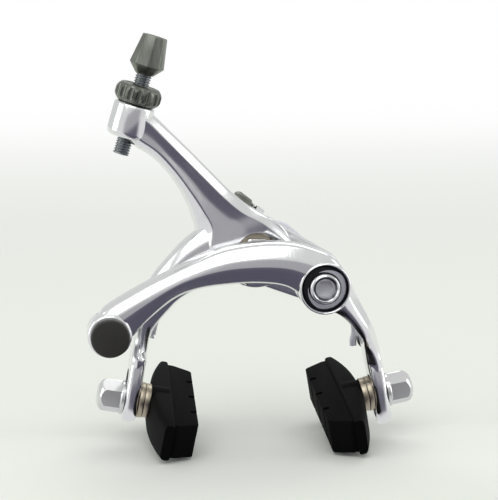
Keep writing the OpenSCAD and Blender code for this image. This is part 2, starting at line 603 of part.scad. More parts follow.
// Cable adjuster: the ring turns on the boss and lifts the barrel
ring_foot = 0.1;
cap_foot = ring_foot + ring_h + barrel_neck;
cap_bevel = 2.9;
cap_grip = 3;
barrel_below = adjuster_boss_h + barrel_tip;
barrel_above = cap_foot + cap_grip;
cable_slip = 0.2;
module adjuster_ring() color("darkslategray") at_adjuster() translate([0, 0, ring_foot]) difference() {
    rotate_extrude() polygon([[0, 0], [ring_r - 1.8, 0], [ring_r - 0.5, 0.7], [ring_r, 1.8], [ring_r, ring_h - 1.8],
                              [ring_r - 0.6, ring_h - 0.6], [ring_r - 2, ring_h], [0, ring_h]]);
    translate([0, 0, -1]) cylinder(r = barrel_r + 0.06, h = ring_h + 2);
    for (i = [0:ring_scallops - 1]) rotate([0, 0, 360 * i / ring_scallops])
        translate([ring_r + 0.25, 0, -1]) cylinder(r = 0.95, h = ring_h + 2, $fn = 24);
}
module adjuster_barrel() color("slategray") at_adjuster() difference() {
    translate([0, 0, -barrel_below]) cylinder(r = barrel_r, h = barrel_below + barrel_above);
    translate([0, 0, -barrel_below - past]) cylinder(r = cable_r + cable_slip, h = barrel_below + barrel_above + 2 * past);
}
module adjuster_cap() color("darkslategray") at_adjuster() translate([0, 0, cap_foot]) difference() {
    union() {
        cylinder(r1 = 3.1, r2 = cap_r, h = cap_bevel, $fn = 8);
        translate([0, 0, cap_bevel]) cylinder(r1 = cap_r, r2 = cap_top_r, h = cap_h, $fn = 8);
    }
    translate([0, 0, cap_bevel + cap_h - housing_depth]) cylinder(r = housing_r, h = housing_depth + 1);
    translate([0, 0, -past]) cylinder(r = barrel_r + eps, h = cap_grip + past);
    translate([0, 0, -past]) cylinder(r = cable_r + cable_slip, h = cap_h + cap_bevel);
}

bridge();
center_bolt();
mounting_washer();
center_thrust_washer();
center_front_washer();
center_nut();
center_lock_nut();
side_pivot_bolt();
side_pivot_washer();
side_thrust_washer();
centring_screw();
return_spring();
rear_arm();
rear_arm_bush();
left_spring_slider();
left_pad_holder();
left_pad();
left_pad_bolt();
left_domed_washer();
left_hollow_washer();
left_pad_nut();
front_arm();
front_arm_bush();
right_spring_slider();
right_pad_holder();
right_pad();
right_pad_bolt();
right_domed_washer();
right_hollow_washer();
right_pad_nut();
cable_anchor_cap();
cable_anchor_bolt();
cable_clamp_washer();
cable_anchor_nut();
adjuster_ring();
adjuster_barrel();
adjuster_cap();
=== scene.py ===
"""Dresses the caliper brake and sets its light and camera."""

import json
import logging
import math
from dataclasses import dataclass
from enum import Enum
from typing import Callable, Sequence

import bpy
import numpy as np
from mathutils import Matrix, Vector


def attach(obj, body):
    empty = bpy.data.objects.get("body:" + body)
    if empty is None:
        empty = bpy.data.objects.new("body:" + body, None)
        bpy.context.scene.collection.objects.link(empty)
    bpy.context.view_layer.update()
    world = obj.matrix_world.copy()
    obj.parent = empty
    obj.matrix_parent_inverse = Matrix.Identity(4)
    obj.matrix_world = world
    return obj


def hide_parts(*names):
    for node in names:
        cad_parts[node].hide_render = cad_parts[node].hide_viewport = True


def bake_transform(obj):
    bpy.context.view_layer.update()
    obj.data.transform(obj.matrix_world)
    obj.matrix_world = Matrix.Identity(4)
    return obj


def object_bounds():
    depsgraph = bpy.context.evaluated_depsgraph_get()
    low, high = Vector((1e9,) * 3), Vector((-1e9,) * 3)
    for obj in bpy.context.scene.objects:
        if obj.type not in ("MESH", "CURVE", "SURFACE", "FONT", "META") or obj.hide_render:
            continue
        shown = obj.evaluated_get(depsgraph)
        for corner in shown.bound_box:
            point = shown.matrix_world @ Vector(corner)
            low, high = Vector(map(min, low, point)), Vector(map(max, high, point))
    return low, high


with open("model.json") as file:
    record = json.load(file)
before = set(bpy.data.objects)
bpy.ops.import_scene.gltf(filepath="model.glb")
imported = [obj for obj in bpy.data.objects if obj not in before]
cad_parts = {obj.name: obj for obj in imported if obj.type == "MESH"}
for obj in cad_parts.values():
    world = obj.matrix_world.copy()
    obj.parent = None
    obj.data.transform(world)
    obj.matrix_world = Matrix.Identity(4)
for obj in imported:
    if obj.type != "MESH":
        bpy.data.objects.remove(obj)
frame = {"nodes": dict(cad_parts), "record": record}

LOG = logging.getLogger("caliper")
MM = 0.001
Array = np.ndarray
Numbers = Sequence[float]


# Driving dimensions, in millimetres, the same as in the CAD source
@dataclass(frozen=True)
class Stack:
    """Depths of the caliper's stack; the front faces are the more negative."""

    bridge_back: float = -3.0
    link_back: float = -6.8
    bridge_front: float = -11.0
    rear_back: float = -12.0
    rear_front: float = -21.0
    front_back: float = -24.3
    front_front: float = -33.3
    rear_floor: float = -18.0
    front_floor: float = -30.1
    pad: float = -16.5


@dataclass(frozen=True)
class Sizes:
    """Radii and lengths that several pieces share."""

    stud_r: float = 3.0
    shank_r: float = 3.5
    side_bolt_r: float = 3.0
    running_gap: float = 0.05
    bush_wall: float = 1.3
    stud_length: float = 24.0
    anchor_eye_r: float = 6.8
    anchor_bolt_r: float = 2.9
    adjuster_boss_r: float = 6.4
    adjuster_boss_h: float = 10.6
    barrel_r: float = 2.5
    ring_r: float = 7.2
    ring_h: float = 6.0
    cap_r: float = 5.6
    foot_t: float = 4.6
    foot_r: float = 5.7
    slot_travel: float = 8.0
    pad_bolt_r: float = 2.9
    holder_l: float = 52.0
    holder_h: float = 13.0
    holder_t: float = 6.6
    holder_end_t: float = 3.0
    pad_t: float = 7.4
    pad_h: float = 11.0
    wire_r: float = 1.1
    wire_rise: float = 6.8


DEPTH = Stack()
SIZE = Sizes()
PIVOT = np.array([19.6, -9.3])
ANCHOR = np.array([-46.4, -22.6])
FOOT = np.array([39.4, -46.1])
ADJUSTER = np.array([-37.2, 46.5])
LIMB_SPLAY = math.radians(10.4)
ADJUSTER_LEAN = math.radians(17)
PAD_PITCH = math.radians(9)
PAD_HANG = 2.0
FOOT_DOWN = np.array([math.sin(LIMB_SPLAY), -math.cos(LIMB_SPLAY)])
FOOT_OUT = np.array([math.cos(LIMB_SPLAY), math.sin(LIMB_SPLAY)])
ADJUSTER_UP = np.array([math.sin(ADJUSTER_LEAN), math.cos(ADJUSTER_LEAN)])
ADJUSTER_ACROSS = np.array([math.cos(ADJUSTER_LEAN), -math.sin(ADJUSTER_LEAN)])
SLOT_DOWN = {1: 4.9, -1: 1.8}


class Cut(Enum):
    """How one solid meets another."""

    JOIN = "UNION"
    TAKE = "DIFFERENCE"
    KEEP = "INTERSECT"


# Places: 4x4 matrices in millimetres
def axes(x: Numbers, y: Numbers, z: Numbers, origin: Numbers = (0, 0, 0)) -> Array:
    """Returns the place with the given axes and origin."""
    place = np.eye(4)
    place[:3, 0], place[:3, 1], place[:3, 2], place[:3, 3] = x, y, z, origin
    return place


def raised(z: float) -> Array:
    """Returns a plain move along Z."""
    return axes((1, 0, 0), (0, 1, 0), (0, 0, 1), (0, 0, z))


def forward(point: Numbers = (0, 0), back: float = 0) -> Array:
    """Returns the place at a point of the front view, its Z to the front."""
    return axes((1, 0, 0), (0, 0, 1), (0, -1, 0), (point[0], back, point[1]))


def outward(start: float) -> Array:
    """Returns the place in a foot's frame, its Z outward from start."""
    return axes((0, 0, -1), (0, 1, 0), (1, 0, 0), (start, 0, 0))


def foot_place(side: int) -> Array:
    """Returns the frame of a foot: X outward, Z up the limb, origin on the pad bolt."""
    place = axes((FOOT_OUT[0], 0, FOOT_OUT[1]), (0, 1, 0), (-FOOT_DOWN[0], 0, -FOOT_DOWN[1]),
                 (FOOT[0], DEPTH.pad, FOOT[1]))
    return place if side > 0 else np.diag([-1.0, 1, 1, 1]) @ place


def pad_place(side: int) -> Array:
    """Returns the frame of a pad, pitched in its foot's frame."""
    c, s = math.cos(PAD_PITCH), math.sin(PAD_PITCH)
    return foot_place(side) @ axes((1, 0, 0), (0, c, s), (0, -s, c)) @ raised(-PAD_HANG)


def adjuster_place() -> Array:
    """Returns the adjuster's frame: Z along the barrel, origin on the boss's top."""
    return axes((ADJUSTER_ACROSS[0], 0, ADJUSTER_ACROSS[1]), (0, 1, 0), (ADJUSTER_UP[0], 0, ADJUSTER_UP[1]),
                (ADJUSTER[0], DEPTH.rear_back - SIZE.adjuster_boss_r, ADJUSTER[1]))


def on_foot(down: float, out: float) -> Array:
    """Returns a point of the right foot, down and out from the pad bolt."""
    return FOOT + down * FOOT_DOWN + out * FOOT_OUT


def on_left(down: float, out: float) -> Array:
    """Returns the same point on the left foot."""
    return on_foot(down, out) * np.array([-1.0, 1.0])


# Curves and grids
def smooth(rows: Sequence[Numbers], steps: int) -> Array:
    """Runs a smooth curve through rows of numbers, so many steps to a span."""
    p = np.asarray(rows, float)
    padded = np.vstack([p[:1], p, p[-1:]])
    a, b, c, d = (padded[i:len(p) - 1 + i, None, :] for i in range(4))
    t = (np.arange(steps) / steps)[None, :, None]
    spans = 0.5 * (2 * b + (c - a) * t + (2 * a - 5 * b + 4 * c - d) * t**2 + (3 * b - a - 3 * c + d) * t**3)
    return np.vstack([spans.reshape(-1, p.shape[1]), p[-1:]])


def rounded(corners: Array, radii: Numbers, steps: int) -> Array:
    """Rounds the corners of a stack of closed outlines.

    Args:
        corners: Outline corners, as rows x corners x dimensions.
        radii: How far each corner is cut back.
        steps: Steps in each round corner.

    Returns:
        The outlines, as rows x points x dimensions.
    """
    before, after = np.roll(corners, 1, axis=1), np.roll(corners, -1, axis=1)

    def cut_back(to: Array) -> Array:
        reach = np.linalg.norm(to - corners, axis=2, keepdims=True)
        share = np.minimum(np.asarray(radii)[None, :, None] / reach, 0.45)
        return (corners + (to - corners) * share)[:, :, None, :]

    t = np.linspace(0, 1, steps + 1)[None, None, :, None]
    start, end, middle = cut_back(before), cut_back(after), corners[:, :, None, :]
    points = start * (1 - t) ** 2 + 2 * middle * t * (1 - t) + end * t**2
    return points.reshape(len(corners), -1, corners.shape[2])


def arc(r: float, angles: Array) -> Array:
    """Returns the points of a circle at the given angles."""
    return np.stack([r * np.cos(angles), r * np.sin(angles)], axis=1)


def circle(r: float, count: int) -> Array:
    """Returns count points of a circle."""
    return arc(r, np.arange(count) * 2 * math.pi / count)


def unit(rows: Array) -> Array:
    """Returns the rows scaled to length 1."""
    return rows / np.linalg.norm(rows, axis=1, keepdims=True)


def add_object(name: str, data: bpy.types.ID) -> bpy.types.Object:
    """Adds an object to the scene."""
    thing = bpy.data.objects.new(name, data)
    bpy.context.collection.objects.link(thing)
    return thing


class Solid:
    """A closed mesh in millimetres. Solids join with +, are cut with - and intersect with &."""

    def __init__(self, mesh: bpy.types.Mesh) -> None:
        self.mesh = mesh

    @classmethod
    def skin(cls, rings: Array) -> "Solid":
        """Skins rings, as rings x points x 3, and closes both ends."""
        rows, count = rings.shape[:2]
        points = rings.reshape(-1, 3)
        i = np.arange(count)
        lower = (np.arange(rows - 1) * count)[:, None]
        here, after = lower + i, lower + (i + 1) % count
        quads = np.stack([here, after, after + count, here + count], axis=2).reshape(-1, 4)
        faces = quads.tolist() + [i[::-1].tolist(), (i + (rows - 1) * count).tolist()]
        a, b, c, d = (points[quads[:, k]] for k in range(4))
        if np.einsum("ij,ij->", np.cross(c - a, d - b), (a + b + c + d)) < 0:
            faces = [face[::-1] for face in faces]
        mesh = bpy.data.meshes.new("solid")
        mesh.from_pydata(points.tolist(), [], faces)
        return cls(mesh)

    @classmethod
    def lathe(cls, profile: Sequence[Numbers], segments: int = 96) -> "Solid":
        """Turns a profile of (radius, height) pairs about Z."""
        line = np.asarray(profile, float)
        line[:, 0] = np.maximum(line[:, 0], 0.001)
        return cls.turned(line, circle(1, segments))

    @classmethod
    def turned(cls, line: Array, ring: Array) -> "Solid":
        """Skins a (radius, height) profile over a ring of unit size."""
        heights = np.repeat(line[:, None, 1:], len(ring), axis=1)
        return cls.skin(np.concatenate([line[:, None, :1] * ring[None], heights], axis=2))

    @classmethod
    def prism(cls, outline: Callable[[float], Array], height: float, bevel: float, steps: int = 3) -> "Solid":
        """Raises an outline along Z with round rims.

        Args:
            outline: Gives the outline's points for an inset.
            height: Height of the prism.
            bevel: Radius of both rims.
            steps: Steps in each rim.

        Returns:
            The prism, from Z = 0 up.
        """
        turns = np.linspace(0, math.pi / 2, steps + 1)
        insets = bevel * (1 - np.sin(turns))
        heights = bevel * (1 - np.cos(turns))
        outlines = [outline(inset) for inset in (*insets, *insets[::-1])]
        return cls.stacked(outlines, [*heights, *(height - heights[::-1])])

    @classmethod
    def stacked(cls, outlines: Sequence[Array], heights: Numbers) -> "Solid":
        """Skins outlines laid at heights along Z."""
        rings = [np.column_stack([line, np.full(len(line), z)]) for line, z in zip(outlines, heights)]
        return cls.skin(np.array(rings))

    @classmethod
    def rod(cls, r: float, low: float, high: float, segments: int = 96) -> "Solid":
        """Makes a plain bar about Z between two heights."""
        return cls.lathe([(r, low), (r, high)], segments)

    @classmethod
    def bar(cls, r: float, height: float, bevel: float, sides: int = 96, steps: int = 3) -> "Solid":
        """Makes a bar about Z with round rims, from Z = 0 up."""
        return cls.prism(lambda inset: circle(r - inset, sides), height, bevel, steps)

    @classmethod
    def thread(cls, r: float, length: float, pitch: float, depth: float) -> "Solid":
        """Makes a rod from Z = 0 up with a helical thread, which dies out at both ends."""
        across, along, runout = 64, max(12, int(length / pitch * 10)), 0.6
        z = np.linspace(0, length, along + 1)[:, None]
        turn = (np.arange(across) / across)[None, :]
        saw = np.abs(((z / pitch - turn) % 1.0) * 2 - 1)
        fade = np.clip(np.minimum(z, length - z) / runout, 0, 1)
        radius = r - depth * (1 - np.clip(saw * 1.5 - 0.25, 0, 1)) * fade - 0.35 * depth * (fade < 1e-6)
        angle = turn * 2 * math.pi
        return cls.around(radius, angle, z)

    @classmethod
    def around(cls, radius: Array, angle: Array, height: Array) -> "Solid":
        """Skins a grid of radii over its heights and angles."""
        height = np.broadcast_to(height, radius.shape)
        return cls.skin(np.stack([radius * np.cos(angle), radius * np.sin(angle), height], axis=2))

    def placed(self, place: Array) -> "Solid":
        """Returns a copy moved to a place."""
        mesh = self.mesh.copy()
        mesh.transform(Matrix(place.tolist()))
        if np.linalg.det(place[:3, :3]) < 0:
            mesh.flip_normals()
        return Solid(mesh)

    def _cut(self, other: "Solid", how: Cut) -> "Solid":
        first, second = (add_object("operand", solid.mesh) for solid in (self, other))
        modifier = first.modifiers.new("cut", "BOOLEAN")
        modifier.operation, modifier.object, modifier.solver = how.value, second, "EXACT"
        graph = bpy.context.evaluated_depsgraph_get()
        result = bpy.data.meshes.new_from_object(first.evaluated_get(graph))
        for operand in (first, second):
            bpy.data.objects.remove(operand)
        return Solid(result)

    def __add__(self, other: "Solid") -> "Solid":
        return self._cut(other, Cut.JOIN)

    def __sub__(self, other: "Solid") -> "Solid":
        return self._cut(other, Cut.TAKE)

    def __and__(self, other: "Solid") -> "Solid":
        return self._cut(other, Cut.KEEP)


# Materials
class Wire:
    """A shader socket that adds, scales and mixes like a number."""

    def __init__(self, look: "Look", socket: bpy.types.NodeSocket) -> None:
        self.look, self.socket = look, socket

    def _math(self, operation: str, *values: "Wire | float") -> "Wire":
        return self.look.node("ShaderNodeMath", {"operation": operation}, dict(enumerate(values)))

    def __add__(self, other: "Wire | float") -> "Wire":
        return self._math("ADD", self, other)

    def __sub__(self, other: "Wire | float") -> "Wire":
        return self._math("SUBTRACT", self, other)

    def __mul__(self, other: "Wire | float") -> "Wire":
        return self._math("MULTIPLY", self, other)

    def __lt__(self, other: "Wire | float") -> "Wire":
        return self._math("LESS_THAN", self, other)

    def __gt__(self, other: "Wire | float") -> "Wire":
        return self._math("GREATER_THAN", self, other)

    def __rsub__(self, other: float) -> "Wire":
        return self._math("SUBTRACT", other, self)

    __radd__ = __add__
    __rmul__ = __mul__

    def tint(self, low: Numbers, high: Numbers) -> "Wire":
        """Mixes two colours by this value."""
        values = {"Factor": self, 6: (*low, 1.0), 7: (*high, 1.0)}
        return self.look.node("ShaderNodeMix", {"data_type": "RGBA"}, values, out=2)

    def bump(self, strength: float, distance: float) -> "Wire":
        """Makes a bump from this value as a height."""
        values = {"Strength": strength, "Distance": distance, "Height": self}
        return self.look.node("ShaderNodeBump", {}, values)


class Look:
    """One material, built node by node."""

    def __init__(self, name: str, color: Numbers, metallic: float, roughness: float) -> None:
        self.name, self.material = name, bpy.data.materials.new(name)
        self.material.use_nodes = True
        self.tree = self.material.node_tree
        self.shader = self.tree.nodes["Principled BSDF"]
        self.set("Base Color", (*color, 1.0)).set("Metallic", metallic).set("Roughness", roughness)

    def node(self, kind: str, settings: dict, inputs: dict, out: int | str = 0) -> Wire:
        """Adds a node and links or sets its inputs.

        Args:
            kind: The node's type.
            settings: Its properties by name.
            inputs: Wires or plain values by socket name or number.
            out: The output that the wire comes from.

        Returns:
            The wire.
        """
        node = self.tree.nodes.new(kind)
        for key, value in settings.items():
            setattr(node, key, value)
        for key, value in inputs.items():
            self._feed(node.inputs[key], value)
        return Wire(self, node.outputs[out])

    def _feed(self, socket: bpy.types.NodeSocket, value: "Wire | float | Numbers") -> None:
        if isinstance(value, Wire):
            self.tree.links.new(value.socket, socket)
        else:
            socket.default_value = value

    def set(self, name: str, value: "Wire | float | Numbers") -> "Look":
        """Sets or links one of the shader's own sockets."""
        self._feed(self.shader.inputs[name], value)
        return self

    def axis(self, index: int) -> Wire:
        """Returns one of the object's own coordinates: 0 for X, 1 for Y, 2 for Z."""
        place = self.node("ShaderNodeTexCoord", {}, {}, "Object")
        return self.node("ShaderNodeSeparateXYZ", {}, {0: place}, index)

    def ramp(self, value: Wire, low: float, high: float) -> Wire:
        """Returns a smooth step from 0 at low to 1 at high."""
        limits = {"Value": value, "From Min": low, "From Max": high}
        return self.node("ShaderNodeMapRange", {"interpolation_type": "SMOOTHSTEP"}, limits)

    def recess(self, at: Numbers, r: float, front: float, back: float) -> Wire:
        """Returns 1 inside a round recess between two depths, in millimetres, and 0 outside it."""
        across, y, up = self.axis(0) - at[0] * MM, self.axis(1), self.axis(2) - at[1] * MM
        near = (across * across + up * up) < (r * MM) ** 2
        return near * (y > front * MM) * (y < back * MM)

    def noise(self, scale: float, stretch: Numbers = (1, 1, 1)) -> Wire:
        """Returns noise in the object's own coordinates, a value about 0.5."""
        place = self.node("ShaderNodeTexCoord", {}, {}, "Object")
        mapped = self.node("ShaderNodeMapping", {}, {"Vector": place, "Scale": stretch})
        return self.node("ShaderNodeTexNoise", {}, {"Vector": mapped, "Scale": scale, "Detail": 3.0})


def metal(name: str, color: Numbers, roughness: float, wander: float = 0.05, scratch: float = 0.0) -> Look:
    """Makes a metal whose gloss wanders about roughness, with polishing scratches if asked."""
    look = Look(name, color, 1.0, roughness)
    look.set("Roughness", look.noise(260) * (2 * wander) + (roughness - wander))
    if scratch:
        look.set("Normal", look.noise(900, (1, 1, 0.15)).bump(scratch, 0.0004))
    return look


class Paint:
    """The looks of the caliper, by material slot."""

    def __init__(self) -> None:
        outside, inside = DEPTH.front_front, DEPTH.front_floor + 1.1
        dark_alloy = metal("dark_alloy", (0.115, 0.125, 0.105), 0.36, 0.08)
        streaks = dark_alloy.noise(420, (1, 1, 0.12))
        dark_alloy.set("Base Color", streaks.tint((0.045, 0.05, 0.042), (0.3, 0.31, 0.275)))
        rubber = Look("pad_rubber", (0.002, 0.002, 0.002), 0.0, 0.85).set("Specular IOR Level", 0.1)
        rubber.set("Normal", rubber.noise(1500).bump(0.15, 0.0003))
        silver, pewter = (0.86, 0.86, 0.87), (0.66, 0.65, 0.72)
        polished = metal("polished_arms", silver, 0.17, 0.03, 0.05)
        # Painted shade: the front arm's recess round the side pivot is darkened in the base colour.
        shade = polished.recess(PIVOT, FRONT_MOUTH_R + 0.3, outside + 0.7, inside)
        polished.set("Base Color", shade.tint(silver, (0.06, 0.06, 0.07)))
        holder = Look("holder_black", (0.0015, 0.0015, 0.0015), 0.0, 0.7).set("Specular IOR Level", 0.08)
        washers = metal("washer_steel", pewter, 0.45).set("Metallic", 0.6)
        # Painted shadow: a dark crescent on the upper left of the side pivot washer, where the recess wall
        # would shade it; a disc offset to the lower right keeps the washer's own colour.
        unshadowed_centre = PIVOT + [1.1, -0.8]
        shadow_circles = ((PIVOT, FRONT_MOUTH_R + 0.2), (unshadowed_centre, 6.3))
        rim, unshadowed_disc = (washers.recess(at, r, outside, inside) for at, r in shadow_circles)
        washers.set("Base Color", (rim * (1 - unshadowed_disc)).tint(pewter, (0.02, 0.02, 0.025)))
        bolt = metal("bolt_steel", (0.66, 0.66, 0.68), 0.2)
        # Painted shade: the countersink ring of the side pivot bolt's head is darkened in the base colour;
        # the key socket only gets a higher roughness.
        sink, key = (bolt.recess(PIVOT, r, outside, inside) for r in (SINK_R, SIDE_KEY_R))
        bolt.set("Base Color", (sink - key).tint((0.72, 0.72, 0.74), (0.1, 0.1, 0.12)))
        bolt.set("Roughness", key * 0.4 + 0.2)
        looks = [
            polished, bolt, washers, dark_alloy, holder, rubber,
            metal("chrome_nuts", (0.7, 0.7, 0.7), 0.14, 0.03).set("Metallic", 0.7),
            metal("bronze", (0.42, 0.37, 0.29), 0.3),
            metal("barrel_steel", (0.3, 0.32, 0.33), 0.32),
            Look("dark_plastic", (0.02, 0.019, 0.016), 0.0, 0.42),
        ]
        self.materials = {look.name: look.material for look in looks}

    def __getitem__(self, slot: str) -> bpy.types.Material:
        return self.materials[slot]


@dataclass(frozen=True)
class Bend:
    """A piece that spans two bodies: its name, its own body and its two end points. Nothing bends it."""

    name: str
    body: str
    start: Array
    end: Array


def spot(point: Array) -> tuple[float, float, float]:
    """Returns a point at the spring's depth, in metres."""
    return (point[0] * MM, WIRE_Y * MM, point[1] * MM)


class Caliper:
    """Makes the pieces and fastens them to their bodies."""

    def __init__(self, paint: Paint) -> None:
        self.paint = paint
        record = frame["record"]
        self.slots = {row["node"]: row["material_slot"] for row in record["subparts"]}
        self.bodies = {node: body for body, nodes in record["behaviour"]["bodies"].items() for node in nodes}

    def dress(self, node: str, solid: Solid, bend: Bend | None = None) -> None:
        """Puts a solid in place of its CAD node.

        Args:
            node: Name of the CAD node.
            solid: The finished solid, in millimetres.
            bend: For a piece that spans two bodies, its name; such a piece is baked in place and attached to
                no body.
        """
        mesh = solid.mesh.copy()
        mesh.transform(Matrix.Scale(MM, 4))
        mesh.materials.clear()
        mesh.materials.append(self.paint[self.slots[node]])
        mesh.shade_smooth()
        mesh.set_sharp_from_angle(angle=math.radians(32))
        piece = add_object(f"{node}_{bend.name if bend else 'surface'}", mesh)
        if bend:
            spot(bend.start)
            spot(bend.end)
            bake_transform(piece)
        else:
            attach(piece, self.bodies[node])
        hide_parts(node)


# Shared shapes
LIMB_STEPS = 18


def puck(r: float, back: float, front: float, bevel: float, at: Numbers = (0, 0)) -> Solid:
    """Makes a round bar along the depth with round rims."""
    return Solid.bar(r, back - front, bevel).placed(forward(at, back))


def post(r: float, back: float, front: float, at: Numbers = (0, 0)) -> Solid:
    """Makes a plain round bar along the depth."""
    return Solid.rod(r, 0, back - front).placed(forward(at, back))


def mouth(r: float, floor: float, front: float, flare: float, at: Numbers = (0, 0)) -> Solid:
    """Makes the cutter of a round recess that widens at its mouth."""
    h = floor - front
    profile = [(r, 0), (r, h - flare), (r + 0.3 * flare, h - 0.4 * flare), (r + flare, h), (r + flare, h + 9)]
    return Solid.lathe(profile).placed(forward(at, floor))


def washer(r: float, bore: float, back: float, front: float, bevel: float, at: Numbers = (0, 0)) -> Solid:
    """Makes a flat ring along the depth."""
    return puck(r, back, front, bevel, at) - post(bore, back + 1, front - 1, at)


def hexagon(flats: float, height: float, dome: float) -> Solid:
    """Makes a hexagon bar along Z with its top corners turned off."""
    r = flats / 2 / math.cos(math.pi / 6)
    turned = Solid.lathe([(0, -1), (r + 0.1, -1), (r + 0.1, height - dome), (r - 0.35, height - 0.5 * dome),
                          (flats / 2 - 0.3, height), (0, height)])
    return Solid.bar(r, height, 0.12, 6, 2) & turned


def roof_rings(rows: Sequence[Array]) -> Array:
    """Makes rings with a flat back and a front that falls away from a ridge, over a shoulder.

    Args:
        rows: top x, z, bottom x, z, front, back, ridge place, fall at the top and at the bottom.

    Returns:
        The rings, as rings x points x 3.
    """
    v = smooth(rows, LIMB_STEPS)
    top, bottom = v[:, 0:2], v[:, 2:4]
    crest = bottom + v[:, 6:7] * (top - bottom)
    shoulder = crest + 0.45 * (top - crest)
    front, back = v[:, 4], v[:, 5]
    corners = [deep(bottom, back), deep(top, back), deep(top, front + v[:, 7]),
               deep(shoulder, front + 0.22 * v[:, 7]), deep(crest, front), deep(bottom, front + v[:, 8])]
    return rounded(np.stack(corners, axis=1), [1.4, 1.4, 1.6, 0.8, 1.2, 1.8], 8)


def dish_rings(rows: Sequence[Array]) -> Array:
    """Makes rings with a bevelled rail on both sides of a dished face."""
    v = smooth(rows, LIMB_STEPS)
    right, left = v[:, 0:2], v[:, 2:4]
    width = np.linalg.norm(right - left, axis=1, keepdims=True)
    across = (right - left) / width
    rails = np.minimum(v[:, 7:9], 0.34 * width)
    inner_right, inner_left = right - rails[:, :1] * across, left + rails[:, 1:] * across
    front, back = v[:, 4], v[:, 5]
    corners = [deep(left, back), deep(right, back), deep(right, front + v[:, 7]), deep(inner_right, front),
               deep((inner_right + inner_left) / 2, front + v[:, 6]), deep(inner_left, front),
               deep(left, front + v[:, 8])]
    return rounded(np.stack(corners, axis=1), [1.4, 1.4, 1.2, 0.5, 4, 0.7, 1.6], 8)


def deep(points: Array, depth: Array) -> Array:
    """Joins points of the front view with their depths."""
    return np.stack([points[:, 0], depth, points[:, 1]], axis=1)


def roof(top: Array, bottom: Array, *rest: float) -> Array:
    """Makes a row of a limb from its two edges and the other numbers."""
    return np.array([*top, *bottom, *rest])


def foot_top(side: int) -> float:
    """Returns where a foot's plate starts, down from the pad bolt; side is 1 or -1."""
    return -(SIZE.slot_travel - SLOT_DOWN[side]) - SIZE.foot_r + 0.4


def foot_rows(side: int) -> list[Array]:
    """Makes the rows where a limb runs into its foot, from the limb down."""
    rows, place = [], on_foot if side > 0 else on_left
    for past, grow in ((-2.4, 0.1), (0.4, 0.03), (3, -0.2)):
        down, half, r = foot_top(side) + past, SIZE.foot_t / 2 + grow, SIZE.foot_r + grow
        rows.append(roof(place(down, half), place(down, -half), DEPTH.pad - r, DEPTH.pad + r, 0.5, 1.5, 1.5))
    return rows


def foot_plate(side: int) -> Solid:
    """Makes the flat foot with its round end."""
    reach, top = SLOT_DOWN[side], foot_top(side)

    def outline(inset: float) -> Array:
        r = SIZE.foot_r - inset
        end = arc(r, np.radians(np.linspace(-90, 90, 49))) + [reach, 0]
        return np.vstack([[[top + 1, r], [top - 3, 0.75 * r], [top - 3, -0.75 * r], [top + 1, -r]], end])

    plate = Solid.prism(outline, SIZE.foot_t, 1.8, 8)
    return plate.placed(foot_place(side) @ outward(-SIZE.foot_t / 2))


def foot_slot(side: int) -> Solid:
    """Makes the cutter of the slot for the pad bolt."""
    r, low = SIZE.pad_bolt_r + 0.2, SLOT_DOWN[side]
    high = SIZE.slot_travel - low
    end = arc(r, np.radians(np.linspace(-90, 90, 25)))
    outline = np.vstack([end + [low, 0], -end - [high, 0]])
    slot = Solid.stacked([outline] * 2, [-SIZE.foot_t, SIZE.foot_t])
    return slot.placed(foot_place(side) @ outward(0))


FOOT_IN = -SIZE.foot_t / 2
HOLLOW_T, DOMED_T = 1.6, 1.9
HOLLOW_AT = FOOT_IN - HOLLOW_T
DOMED_AT = HOLLOW_AT - DOMED_T
HOLDER_AT = DOMED_AT - SIZE.holder_t
PAD_FACE = HOLDER_AT - SIZE.pad_t
SEAT_R = 5.6
NUT_FLATS, NUT_R, NUT_H, FLANGE_T = 9, 5.25, 8.4, 1.3
BRIDGE_R, BRIDGE_END_R = 10.6, 8.6
REAR_BOSS_R, REAR_CORE_R, REAR_MOUTH_R = 11.4, 7.3, 6.4
FRONT_BOSS_R, BOSS_CLEAR_R, FRONT_MOUTH_R = 8, 9.1, 7.3
MOUNTING_R, CENTER_WASHER_R, SIDE_WASHER_R, CLAMP_R, ANCHOR_CAP_R = 7.5, 6.0, 6.7, 5.8, 5.9
PAD_GROOVES, GROOVE_HALF = (-12, 0, 12), 0.8
FINE, COARSE = (0.8, 0.35), (1.0, 0.5)
SINK_R, SIDE_KEY_R, SIDE_KEY_CORNER = 4.2, 3.0, 2.887
SIDE_BOSS_FRONT = DEPTH.front_back + 0.7
HEAD_BACK = DEPTH.front_floor - 1.1
CENTER_TIP = DEPTH.rear_floor - 5.2
ANCHOR_FRONT = DEPTH.front_front + 0.2
CLAMP_BACK = DEPTH.front_back + 1.8
RING_FOOT = 0.1
CAP_FOOT = RING_FOOT + SIZE.ring_h + 3.4
CAP_BEVEL, CAP_H, CAP_TOP_R, CAP_FOOT_R = 2.9, 9.2, 3.9, 3.1
HOUSING_R, HOUSING_DEPTH, CABLE_R = 2.6, 8.0, 0.8
BARREL_TIP = 5.2
SCALLOPS = 16
CENTRING_R, CENTRING_L = 2.3, 9.6
LEFT_PEG = on_left(-19.6, -0.6)
RIGHT_PEG = on_foot(-14.5, -0.2)
PEG_R, SLIDER_R = 1.2, 2.3
WIRE_Y = DEPTH.bridge_back - SIZE.wire_r - 1.2
PEG_TIP = WIRE_Y + SIZE.wire_r + 0.6


